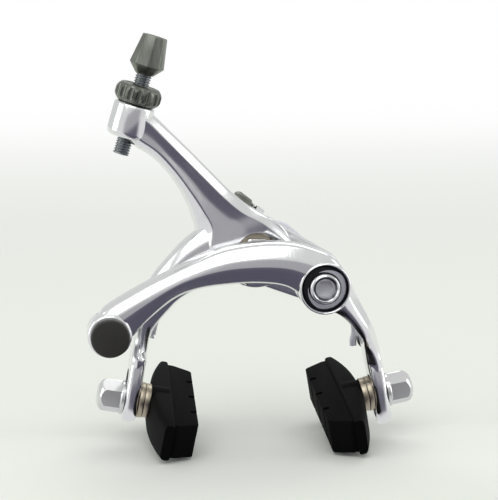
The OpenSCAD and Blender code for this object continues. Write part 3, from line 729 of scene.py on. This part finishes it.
class Arms(Caliper):
    """The two forged arms."""

    def rear_arm(self) -> None:
        """Builds the arm with the adjuster boss and the left limb."""
        back, front = DEPTH.rear_back, DEPTH.rear_front
        boss, face, rear, limb_rear = back - 2 * SIZE.adjuster_boss_r, front + 0.5, back - 0.12, back - 0.24
        top = ADJUSTER + 4.2 * ADJUSTER_ACROSS - 1.5 * ADJUSTER_UP
        low = ADJUSTER - 4.4 * ADJUSTER_ACROSS - 9.4 * ADJUSTER_UP
        blade = [
            roof(top, low, boss + 1, rear, 0.3, 2.2, 2.6),
            roof(ADJUSTER + [5.5, -3.4], ADJUSTER + [-0.6, -12.6], boss + 1.6, rear, 0.4, 2.4, 2.6),
            roof(ADJUSTER + [11.7, -9.5], ADJUSTER + [4.7, -16.1], boss + 2.2, rear, 0.6, 2.6, 2.4),
            [-19.5, 31, -27, 24.6, face - 1, rear, 0.8, 2.8, 2.2],
            [-13.5, 24.8, -22.7, 17.6, face - 0.4, rear, 1, 2.8, 2.8],
            [-8, 19.2, -20.2, 11.8, face, rear, 1.1, 2.8, 3.8],
            [-2.2, 14.4, -18.6, 5.5, face, rear, 0.9, 2.8, 5.2],
            [4.2, 10.4, -16.8, -2, front, rear, 0.5, 2.2, 3.9],
            [10.6, 4.2, -3.4, -10.4, front + 0.1, rear, 0.2, 1.6, 1.4],
        ]
        limb = [
            *foot_rows(-1)[::-1],
            roof(on_left(-18.6, 2.4), on_left(-16, -2.4), face, limb_rear, 0.45, 2, 1.6),
            roof(on_left(-28.6, 3.4), on_left(-22.6, -3), face, limb_rear, 0.45, 3.4, 2.2),
            [-33, -8.4, -27.4, -18.2, face, limb_rear, 0.5, 3.6, 2.4],
            [-27.6, -1.8, -23, -14, face, limb_rear, 0.6, 2.6, 2],
            [-21.2, 4.6, -16, -10.6, face, limb_rear, 0.6, 2.6, 2],
            [-13.6, 9, -8, -9, face, limb_rear, 0.55, 2.4, 1.6],
            [-2, 8.6, 0, -8.8, face, limb_rear, 0.5, 1, 1],
        ]
        r, h = SIZE.adjuster_boss_r, SIZE.adjuster_boss_h
        rim = np.radians(np.linspace(0, 90, 7))
        foot = [(r - 2 + 2 * math.sin(a), -h + 2 - 2 * math.cos(a)) for a in rim]
        boss_solid = Solid.lathe([(0, -h), *foot, (r, -0.8), (r - 0.2, -0.3), (r - 0.6, 0), (0, 0)])
        arm = Solid.skin(dish_rings(blade)) + Solid.skin(roof_rings(limb))
        arm = arm + puck(REAR_BOSS_R, back, front + 2.6, 0.8) + puck(REAR_CORE_R, back, front + 0.4, 0.3)
        arm = arm + boss_solid.placed(adjuster_place())
        arm = arm + foot_plate(-1) + post(PEG_R, PEG_TIP, back - 1, LEFT_PEG)
        arm = arm - mouth(REAR_MOUTH_R, DEPTH.rear_floor, front, 0.3)
        arm = arm - post(SIZE.shank_r + SIZE.bush_wall, back + 1, front)
        bore = Solid.rod(SIZE.barrel_r + 0.08, -h - 9, 9)
        self.dress("rear_arm", arm - bore.placed(adjuster_place()) - foot_slot(-1))

    def front_arm(self) -> None:
        """Builds the arm with the cable anchor and the right limb."""
        back, front, pivot = DEPTH.front_back, DEPTH.front_front, PIVOT
        foot_front, foot_back = DEPTH.pad - SIZE.foot_r, DEPTH.pad + SIZE.foot_r
        rows = [
            roof(ANCHOR + [-3.6, 5.2], ANCHOR + [3.2, -5.4], front + 0.6, back, 0.5, 2.4, 2.4),
            roof(ANCHOR + [-0.6, 8.6], ANCHOR + [6.8, -1.4], front + 0.3, back, 0.48, 3, 3),
            roof(ANCHOR + [9.6, 14.6], ANCHOR + [12.4, 4.4], front, back, 0.46, 3.2, 3.6),
            [-27.6, -3.4, -26.4, -12.3, front, back, 0.44, 3.2, 4],
            [-20, 0, -19.4, -9.6, front, back, 0.43, 3.2, 4.2],
            [-10.6, 3.3, -11, -8.4, front, back, 0.42, 3.2, 4.4],
            [0, 4.8, -1, -8, front, back, 0.4, 3.2, 4.4],
            roof(pivot + [-10.4, 13.9], pivot + [-12.4, 0.4], front, back, 0.4, 3, 4),
            roof(pivot + [-3.6, 12.2], pivot + [-7.4, -2.2], front, back, 0.42, 2.4, 3),
            roof(pivot + [2.8, 9.2], pivot + [-2.6, -5.6], front, back, 0.46, 2, 2.4),
            roof(pivot + [7.6, 3.2], pivot + [1.6, -7.4], front + 0.4, back + 3, 0.4, 3.4, 2),
            roof(pivot + [11.6, -4.6], pivot + [6.6, -10.4], front + 2.4, foot_back - 1.6, 0.32, 4.4, 1.8),
            roof(on_foot(-23.4, 0.9), on_foot(-20.6, -3.6), front + 5.6, foot_back - 0.6, 0.3, 3.6, 1.2),
            roof(on_foot(-16.4, 2.1), on_foot(-15.6, -2.6), foot_front - 1.3, foot_back - 0.2,
                 0.35, 2.6, 1.2),
            *foot_rows(1),
        ]
        arm = Solid.skin(roof_rings(rows)) + puck(FRONT_BOSS_R, back, front, 0.5, pivot)
        arm = arm + puck(SIZE.anchor_eye_r, back, front + 0.2, 1, ANCHOR)
        arm = arm + foot_plate(1) + post(PEG_R, PEG_TIP, DEPTH.pad, RIGHT_PEG)
        arm = arm - mouth(FRONT_MOUTH_R, DEPTH.front_floor, front, 0.3, pivot)
        arm = arm - post(SIZE.side_bolt_r + SIZE.bush_wall, back + 8, front, pivot)
        arm = arm - post(BOSS_CLEAR_R, 0, back, pivot)
        arm = arm - post(SIZE.anchor_bolt_r + 0.1, back + 1, front - 1, ANCHOR)
        self.dress("front_arm", arm - foot_slot(1))


class Fixings(Caliper):
    """The bridge, the bolts, washers and nuts, and the spring."""

    def bridge(self) -> None:
        """Builds the plate between the pivots with the spring's groove."""
        gap = math.hypot(*PIVOT)
        heading = math.atan2(PIVOT[1], PIVOT[0])
        tangent = math.acos((BRIDGE_R - BRIDGE_END_R) / gap)

        def outline(inset: float) -> Array:
            side = np.linspace(heading - tangent, heading + tangent, 40)
            middle = np.linspace(heading + tangent, heading - tangent + 2 * math.pi, 56)
            return np.vstack([PIVOT + arc(BRIDGE_END_R - inset, side), arc(BRIDGE_R - inset, middle)])

        plate = Solid.prism(outline, DEPTH.link_back - DEPTH.bridge_front, 0.8)
        plate = plate.placed(forward(back=DEPTH.link_back))
        lug = Solid.rod(2.7, -1.15, 1.6).placed(centring_place())
        body = plate + puck(9.2, DEPTH.bridge_back, DEPTH.bridge_front + 1, 0.6) + lug
        body = body + puck(8.2, DEPTH.link_back - 0.4, SIDE_BOSS_FRONT, 0.6, PIVOT)
        body = body - post(SIZE.shank_r + SIZE.running_gap, 1, DEPTH.bridge_front - 1)
        body = body - post(SIZE.side_bolt_r + SIZE.running_gap, 1, SIDE_BOSS_FRONT - 1, PIVOT)
        hole = Solid.rod(CENTRING_R + 0.05, -0.4, 20).placed(centring_place())
        r = SIZE.wire_r + 0.1
        groove = block((-22, WIRE_Y - r, SIZE.wire_rise - r), (22, 4, SIZE.wire_rise + r))
        self.dress("bridge", body - hole - groove)

    def center_stack(self) -> None:
        """Builds the centre bolt and what is threaded on it."""
        stud = Solid.thread(SIZE.stud_r, SIZE.stud_length, *COARSE).placed(forward(back=SIZE.stud_length))
        nose = Solid.thread(SIZE.stud_r, DEPTH.rear_floor - CENTER_TIP + 1, *COARSE)
        nose = nose.placed(forward(back=DEPTH.rear_floor + 1))
        socket = Solid.rod(1.4, 0, 9, 6).placed(forward(back=SIZE.stud_length + 5))
        self.dress("center_bolt", stud + post(SIZE.shank_r, 0.01, DEPTH.rear_floor) + nose - socket)
        self.dress("mounting_washer", washer(MOUNTING_R, SIZE.shank_r + 0.1, 0, DEPTH.bridge_back, 0.4))
        front = DEPTH.rear_floor - 0.9
        disc = washer(CENTER_WASHER_R, SIZE.stud_r + 0.1, DEPTH.rear_floor, front, 0.2)
        self.dress("center_front_washer", disc)
        bore = post(SIZE.stud_r + 0.02, 0, CENTER_TIP - 1)
        self.dress("center_nut", hexagon(9, 2.4, 0.5).placed(forward(back=front)) - bore)
        self.dress("center_lock_nut", hexagon(8, 1.6, 0.5).placed(forward(back=CENTER_TIP + 1.9)) - bore)

    def side_stack(self) -> None:
        """Builds the side pivot bolt and the washer under its head."""
        head = Solid.lathe([(0, 0), (5.1, 0), (5.1, 0.7), (5.02, 1.15), (4.8, 1.6), (4.5, 2.0), (4.2, 2.25),
                            (4.0, 2.34), (3.9, 2.4), (0, 2.4)]).placed(forward(PIVOT, HEAD_BACK))
        bolt = head + post(SIZE.side_bolt_r, DEPTH.bridge_front + 4, HEAD_BACK - 0.5, PIVOT)
        sink = Solid.lathe([(SIDE_KEY_R, 0), (SINK_R - 0.1, 1.0), (SINK_R, 1.1)])
        sink = sink.placed(forward(PIVOT, HEAD_BACK - 1.5))
        key = Solid.rod(SIDE_KEY_CORNER, -0.4, 4, 6).placed(forward(PIVOT, HEAD_BACK))
        self.dress("side_pivot_bolt", bolt - sink - key)
        disc = washer(SIDE_WASHER_R, SIZE.side_bolt_r + 0.1, DEPTH.front_floor, HEAD_BACK, 0.3, PIVOT)
        self.dress("side_pivot_washer", disc)

    def centring_screw(self) -> None:
        """Builds the screw that presses on the spring."""
        core, top = CENTRING_R - 0.3, CENTRING_L
        tip = Solid.lathe([(0, 0), (1.1, 0), (1.2, 0.1), (1.2, 1.4), (core, 2.3), (core, 3), (0, 3)])
        screw = tip + Solid.thread(CENTRING_R, 3, *FINE).placed(raised(2.3))
        head = [(0, 3.6), (2.5, 3.6), (2.9, 4), (2.9, top - 1.2), (2.4, top - 0.3), (1.9, top), (0, top)]
        screw = screw + Solid.lathe(head)
        key = Solid.rod(1.3, top - 2, top + 1, 6)
        self.dress("centring_screw", (screw - key).placed(centring_place()))

    def spring(self) -> None:
        """Builds the spring wire and the two sliders on the arms' pegs."""
        touch = SLIDER_R + SIZE.wire_r + 0.3
        rise = SIZE.wire_rise
        left = [LEFT_PEG + [touch, -1.6], LEFT_PEG + [touch, 0], [-27.6, -13.6], [-20.4, -3.4],
                [-13, 4], [-8, rise]]
        right = [[8, rise], [14, 3], [20, -3], [25.5, -11], RIGHT_PEG + [-touch, 6], RIGHT_PEG + [-touch, 0],
                 RIGHT_PEG + [-touch + 0.1, -1.6]]
        path = smooth([*left, [0, rise], *right], 10)
        along = unit(np.gradient(path, axis=0))
        across = np.stack([-along[:, 1], along[:, 0]], axis=1)
        ring = circle(SIZE.wire_r, 20)
        flat = path[:, None, :] + across[:, None, :] * ring[None, :, :1]
        depth = np.broadcast_to(WIRE_Y + ring[:, 1], flat.shape[:2])
        wire = np.stack([flat[..., 0], depth, flat[..., 1]], axis=2)
        middle = int(np.argmin(np.abs(path[:, 0])))
        halves = ((wire[:middle + 1], "left", "rear_arm", LEFT_PEG),
                  (wire[middle:], "right", "front_arm", RIGHT_PEG))
        for half, name, arm, peg in halves:
            self.dress("return_spring", Solid.skin(half), Bend(name, arm, path[middle], peg))
        for name, peg in (("left", LEFT_PEG), ("right", RIGHT_PEG)):
            slider = washer(SLIDER_R, PEG_R + 0.02, PEG_TIP - 0.2, WIRE_Y - SIZE.wire_r - 0.5, 0.3, peg)
            self.dress(f"{name}_spring_slider", slider)

    def anchor(self) -> None:
        """Builds the cable anchor: cap, bolt, grooved washer and nut."""
        self.dress("cable_anchor_cap", puck(ANCHOR_CAP_R, ANCHOR_FRONT, ANCHOR_FRONT - 3.4, 0.6, ANCHOR))
        back = CLAMP_BACK + 5
        bolt = Solid.thread(SIZE.anchor_bolt_r, back - ANCHOR_FRONT, 0.8, 0.4).placed(forward(ANCHOR, back))
        self.dress("cable_anchor_bolt", bolt)
        disc = washer(CLAMP_R, SIZE.anchor_bolt_r + 0.1, CLAMP_BACK, DEPTH.front_back, 0.3, ANCHOR)
        x, z = ANCHOR[0] - SIZE.anchor_bolt_r - 2 * CABLE_R - 0.5, ANCHOR[1]
        back = DEPTH.front_back
        groove = block((x, back - 1, z - 10), (x + 2 * CABLE_R, back + CABLE_R, z + 10))
        self.dress("cable_clamp_washer", disc - groove)
        backward = axes((1, 0, 0), (0, 0, -1), (0, 1, 0), (ANCHOR[0], CLAMP_BACK, ANCHOR[1]))
        nut = hexagon(8, 4, 0.6).placed(backward)
        self.dress("cable_anchor_nut", nut - post(SIZE.anchor_bolt_r + 0.02, 0, DEPTH.front_front, ANCHOR))


class Adjuster(Caliper):
    """The cable adjuster: scalloped ring, threaded barrel and tapered cap."""

    def ring(self) -> None:
        """Builds the ring, its scallops cut by circles."""
        r, h = SIZE.ring_r, SIZE.ring_h
        corners = np.array([[4.6, 0], [r - 1.6, 0], [r, 1.7], [r, h - 1.7], [r - 1.4, h], [4.6, h]])
        profile = rounded(corners[None], [0.2, 0.8, 0.8, 0.8, 0.8, 0.2], 6)[0]
        segments = SCALLOPS * 26
        angle = np.arange(segments) * 2 * math.pi / segments
        away = (angle * SCALLOPS / (2 * math.pi) + 0.5) % 1 - 0.5
        away = np.abs(away) * 2 * math.pi / SCALLOPS
        centre, cutter = r + 0.25, 0.98
        inside = np.maximum(cutter**2 - (centre * np.sin(away)) ** 2, 0)
        reach = np.where(inside > 0, centre * np.cos(away) - np.sqrt(inside), 2 * r)
        radius = np.minimum(profile[:, :1], reach[None, :])
        ring = Solid.around(radius, angle, profile[:, 1:]) - Solid.rod(SIZE.barrel_r + 0.06, -1, h + 1)
        self.dress("adjuster_ring", ring.placed(adjuster_place() @ raised(RING_FOOT)))

    def barrel(self) -> None:
        """Builds the threaded barrel with its bore for the inner cable."""
        below = SIZE.adjuster_boss_h + BARREL_TIP
        rod = Solid.thread(SIZE.barrel_r, below + CAP_FOOT + 3, 0.8, 0.42).placed(raised(-below))
        bore = Solid.rod(CABLE_R + 0.2, -below - 1, CAP_FOOT + 4, 32)
        self.dress("adjuster_barrel", (rod - bore).placed(adjuster_place()))

    def cap(self) -> None:
        """Builds the eight-sided cap with the seat for the cable housing."""
        r, top = SIZE.cap_r, CAP_BEVEL + CAP_H
        levels = np.array([[CAP_FOOT_R - 0.3, 0], [CAP_FOOT_R, 0.25], [r - 0.35, CAP_BEVEL - 0.35],
                           [r - 0.05, CAP_BEVEL], [r - 0.12, CAP_BEVEL + 0.4], [CAP_TOP_R + 0.1, top - 0.4],
                           [CAP_TOP_R, top - 0.12], [CAP_TOP_R - 0.2, top]])
        side = rounded(circle(1, 8)[None], [0.16] * 8, 5)[0]
        seat = Solid.lathe([(HOUSING_R, top - HOUSING_DEPTH), (HOUSING_R, top - 0.3), (HOUSING_R + 0.3, top),
                            (HOUSING_R + 0.3, top + 1)])
        grip = Solid.rod(SIZE.barrel_r + 0.01, -1, 3)
        cap = Solid.turned(levels, side) - seat - grip - Solid.rod(CABLE_R + 0.2, 0, top, 32)
        self.dress("adjuster_cap", cap.placed(adjuster_place() @ raised(CAP_FOOT)))


class Pads(Caliper):
    """The pads, their holders and their clamping hardware, on both feet."""

    def both(self) -> None:
        """Builds both sides."""
        for side, name in ((1, "right"), (-1, "left")):
            self.hardware(side, name)
            self.holder(side, name)
            self.rubber(side, name)

    def hardware(self, side: int, name: str) -> None:
        """Builds the nut, the bolt and the two facing washers."""
        foot = foot_place(side)
        flange = Solid.lathe([(0, 0), (5.3, 0), (5.3, FLANGE_T - 0.4), (5.0, FLANGE_T), (0, FLANGE_T)])
        dome = Solid.lathe([(0, -1), (NUT_R, -1), (NUT_R, NUT_H - 2.5), (5.0, NUT_H - 1.9), (4.4, NUT_H - 1),
                            (3.6, NUT_H - 0.4), (2.6, NUT_H), (0, NUT_H)])
        prism = Solid.bar(NUT_FLATS / 2 / math.cos(math.pi / 6), NUT_H + 1, 0.1, 6, 2)
        bore = Solid.rod(SIZE.pad_bolt_r + 0.02, -1, 3.6)
        nut = flange + (prism.placed(raised(0.2)) & dome) - bore
        start = HOLDER_AT + 2
        bolt = Solid.thread(SIZE.pad_bolt_r, SIZE.foot_t / 2 + 3.2 - start, *FINE)
        hole = Solid.rod(SIZE.pad_bolt_r + 0.1, -1, 9)
        disc = Solid.bar(SEAT_R, HOLLOW_T, 0.25)
        dish = Solid.lathe([(4.5, -1), (4.4, 0), (4.1, 0.35), (3.2, 0.8)])
        domed = Solid.bar(SEAT_R - 0.2, DOMED_T, 0.25)
        crown = Solid.lathe([(4.3, DOMED_T - 0.1), (4.0, DOMED_T + 0.25), (3.3, DOMED_T + 0.6)])
        for part, solid, at in (("pad_nut", nut, SIZE.foot_t / 2), ("pad_bolt", bolt, start),
                                ("hollow_washer", disc - hole - dish, HOLLOW_AT),
                                ("domed_washer", domed + crown - hole, DOMED_AT)):
            self.dress(f"{name}_{part}", solid.placed(foot @ outward(at)))

    def holder(self, side: int, name: str) -> None:
        """Builds the holder, thickest at its bolt, with a pocket."""
        y = np.linspace(-SIZE.holder_l / 2, SIZE.holder_l / 2, 73)
        k = np.abs(2 * y / SIZE.holder_l)
        thick = SIZE.holder_end_t + (SIZE.holder_t - SIZE.holder_end_t) * np.cos(np.pi / 2 * k**1.3)
        half = SIZE.holder_h / 2 * (1 - 0.12 * k**4)
        low, top = np.full_like(y, HOLDER_AT), HOLDER_AT + thick
        ring = ((low, y, half), (top, y, half), (top, y, -half), (low, y, -half))
        corners = [np.stack(corner, axis=1) for corner in ring]
        shell = Solid.skin(rounded(np.stack(corners, axis=1), [1, 2.4, 2.4, 1], 7))
        seat = Solid.rod(SEAT_R - 0.6, 0, DOMED_AT - HOLDER_AT - 1)
        shell = shell + seat.placed(raised(PAD_HANG) @ outward(HOLDER_AT + 1))
        reach, half_h = SIZE.holder_l / 2 - 1.6, SIZE.pad_h / 2 + 0.02
        shell = shell - block((HOLDER_AT - 1, -reach, -half_h), (HOLDER_AT + 1.6, reach, half_h))
        hole = Solid.rod(SIZE.pad_bolt_r + 0.02, 0, 20).placed(foot_place(side) @ outward(HOLDER_AT))
        self.dress(f"{name}_pad_holder", shell.placed(pad_place(side)) - hole)

    def rubber(self, side: int, name: str) -> None:
        """Builds the block of rubber with its three grooves."""
        half = (SIZE.holder_l - 3.4) / 2
        corners = np.array([[HOLDER_AT + 1.5, -half], [HOLDER_AT + 1.5, half], [HOLDER_AT - 1.5, half],
                            [PAD_FACE, half - 3], [PAD_FACE, -half + 3], [HOLDER_AT - 1.5, -half]])

        def outline(inset: float) -> Array:
            return rounded(inset_outline(corners, inset)[None], [0.3, 0.3, 0.5, 0.8, 0.8, 0.5], 4)[0]

        pad = Solid.prism(outline, SIZE.pad_h, 0.35).placed(raised(-SIZE.pad_h / 2))
        for y in PAD_GROOVES:
            low, high = (PAD_FACE - 1, y - GROOVE_HALF), (PAD_FACE + 2, y + GROOVE_HALF)
            pad = pad - block((*low, -SIZE.pad_h), (*high, SIZE.pad_h))
        self.dress(f"{name}_pad", pad.placed(pad_place(side)))


def inset_outline(points: Array, inset: float) -> Array:
    """Moves a convex outline's sides inward, whichever way round it runs."""
    along = unit(np.roll(points, -1, axis=0) - points)
    after = np.roll(along, -1, axis=0)
    turn = np.sign(np.sum(along[:, 0] * after[:, 1] - along[:, 1] * after[:, 0]))
    normal = np.stack([-along[:, 1], along[:, 0]], axis=1) * turn
    before = np.roll(normal, 1, axis=0)
    return points + inset * (normal + before) / (1 + np.sum(normal * before, axis=1, keepdims=True))


def block(low: Numbers, high: Numbers) -> Solid:
    """Makes a box between two corners."""
    (x0, y0, z0), (x1, y1, z1) = low, high
    square = np.array([[x0, y0], [x1, y0], [x1, y1], [x0, y1]], float)
    return Solid.stacked([square] * 2, [z0, z1])


def centring_place() -> Array:
    """Returns the centring screw's frame: Z up and left from its tip."""
    lean = math.radians(-52)
    tip = (1.3, WIRE_Y - 1.6, SIZE.wire_rise + SIZE.wire_r + 2)
    return axes((math.cos(lean), 0, -math.sin(lean)), (0, 1, 0), (math.sin(lean), 0, math.cos(lean)), tip)


def light_scene() -> None:
    """Adds the floor, the dark cards, the lamps and the world."""
    centre = Vector((0, -0.02, 0.0))
    floor_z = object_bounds()[0].z - 0.001
    stage_plane("floor", (8, 8), Matrix.Translation((0, 2, floor_z)), floor_look())
    low = Matrix.Translation((0, -1.505, floor_z + 0.0004))
    ahead = Matrix.Translation((0, -1.6, 0.0)) @ Matrix.Rotation(math.radians(90), 4, "X")
    for name, size, place in (("floor_card", (3.0, 3.0), low), ("front_card", (4.0, 1.0), ahead)):
        card = stage_plane(name, size, place, card_look())
        card.visible_camera = card.visible_diffuse = card.visible_shadow = False
    lamp("key", centre, (-0.25, -0.7, 0.85), 1.0, 0.8, 3.9)
    lamp("top_back", centre, (0.2, 0.6, 0.9), 1.0, 0.6, 2.9)
    lamp("left", centre, (-1.0, -0.15, 0.25), 0.5, 0.9, 2.2)
    lamp("right", centre, (1.0, -0.1, 0.2), 0.5, 0.9, 2.2)
    world = bpy.data.worlds.new("studio")
    world.use_nodes = True
    nodes, links = world.node_tree.nodes, world.node_tree.links
    dim, white = nodes["Background"], nodes.new("ShaderNodeBackground")
    dim.inputs["Color"].default_value = (0.69, 0.7, 0.69, 1)
    white.inputs["Color"].default_value = (1, 1, 1, 1)
    mix, path = nodes.new("ShaderNodeMixShader"), nodes.new("ShaderNodeLightPath")
    for place, output in enumerate((path.outputs["Is Camera Ray"], dim.outputs[0], white.outputs[0])):
        links.new(output, mix.inputs[place])
    links.new(mix.outputs[0], nodes["World Output"].inputs[0])
    bpy.context.scene.world = world


def floor_look() -> bpy.types.Material:
    """Makes the pale paper, which fades to white with distance."""
    look = Look("paper", (0.74, 0.76, 0.71), 0.0, 0.9)
    y = look.axis(1)
    away = look.ramp(y, -0.25, 1.1)
    color = away.tint((0.7, 0.72, 0.67), (1, 1, 1))
    glow = look.node("ShaderNodeEmission", {}, {"Color": color, "Strength": 1.0})
    plain = Wire(look, look.shader.outputs[0])
    mixed = look.node("ShaderNodeMixShader", {}, {0: look.ramp(y, 0.1, 0.9), 1: plain, 2: glow})
    look.tree.links.new(mixed.socket, look.tree.nodes["Material Output"].inputs["Surface"])
    return look.material


def card_look() -> bpy.types.Material:
    """Makes the dark card that only the metal sees."""
    look = Look("card", (0, 0, 0), 0.0, 1.0)
    x, y = look.axis(0), look.axis(1)
    far = look.ramp(y, -0.3, -1.0)
    aside = look.node("ShaderNodeMath", {"operation": "ABSOLUTE"}, {0: x + y * 0.11})
    spread = look.node("ShaderNodeMath", {"operation": "DIVIDE"}, {0: aside, 1: 0.008 - y * 0.5})
    aside = look.ramp(spread, 0.9, 1.9)
    share = aside + far * 0.45 - aside * far * 0.45
    look.set("Emission Color", share.tint((0.085, 0.08, 0.115), (0.74, 0.74, 0.75)))
    look.set("Emission Strength", 1.0)
    return look.material


def stage_plane(name: str, size: Numbers, place: Matrix, material: bpy.types.Material) -> bpy.types.Object:
    """Adds a flat rectangle that isn't part of the object."""
    x, y = size[0] / 2, size[1] / 2
    mesh = bpy.data.meshes.new(name)
    mesh.from_pydata([(-x, -y, 0), (x, -y, 0), (x, y, 0), (-x, y, 0)], [], [(0, 1, 2, 3)])
    mesh.transform(place)
    mesh.materials.append(material)
    plane = add_object(name, mesh)
    return plane


def lamp(name: str, target: Vector, place: Numbers, width: float, height: float, power: float) -> None:
    """Adds a soft rectangular lamp that faces the target."""
    light = bpy.data.lights.new(name, "AREA")
    light.shape, light.size, light.size_y, light.energy = "RECTANGLE", width, height, power
    thing = add_object(name, light)
    thing.location = place
    thing.rotation_euler = (target - Vector(place)).to_track_quat("-Z", "Y").to_euler()


@dataclass(frozen=True)
class Shot:
    """How the camera sees the caliper."""

    azimuth: float = -6.5
    elevation: float = 10.0
    distance: float = 0.6
    aim: tuple[float, float, float] = (-0.0025, -0.02, 0.001)
    width: float = 0.155

    def take(self) -> None:
        """Adds the camera and makes it the scene's own."""
        a, e = math.radians(self.azimuth), math.radians(self.elevation)
        back = Vector((math.sin(a) * math.cos(e), -math.cos(a) * math.cos(e), math.sin(e)))
        data = bpy.data.cameras.new("camera")
        data.sensor_width = 36.0
        data.lens = data.sensor_width * self.distance / self.width
        data.clip_start, data.clip_end = 0.01, 50.0
        camera = add_object("camera", data)
        camera.location = Vector(self.aim) + back * self.distance
        camera.rotation_euler = (-back).to_track_quat("-Z", "Y").to_euler()
        bpy.context.scene.camera = camera


def main() -> None:
    """Builds the scene."""
    logging.basicConfig(level=logging.INFO, format="%(message)s")
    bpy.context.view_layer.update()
    paint = Paint()
    arms, fixings, adjuster, pads = Arms(paint), Fixings(paint), Adjuster(paint), Pads(paint)
    for node, piece in frame["nodes"].items():
        piece.data.materials.clear()
        piece.data.materials.append(paint[arms.slots[node]])
    for build in (arms.rear_arm, arms.front_arm, fixings.bridge, fixings.center_stack, fixings.side_stack,
                  fixings.centring_screw, fixings.spring, fixings.anchor, adjuster.ring, adjuster.barrel,
                  adjuster.cap, pads.both):
        build()
    light_scene()
    Shot().take()
    bpy.context.scene.view_settings.view_transform = "Standard"
    LOG.info("Dressed %d nodes", len(frame["nodes"]))


if __name__ == "__main__":
    main()
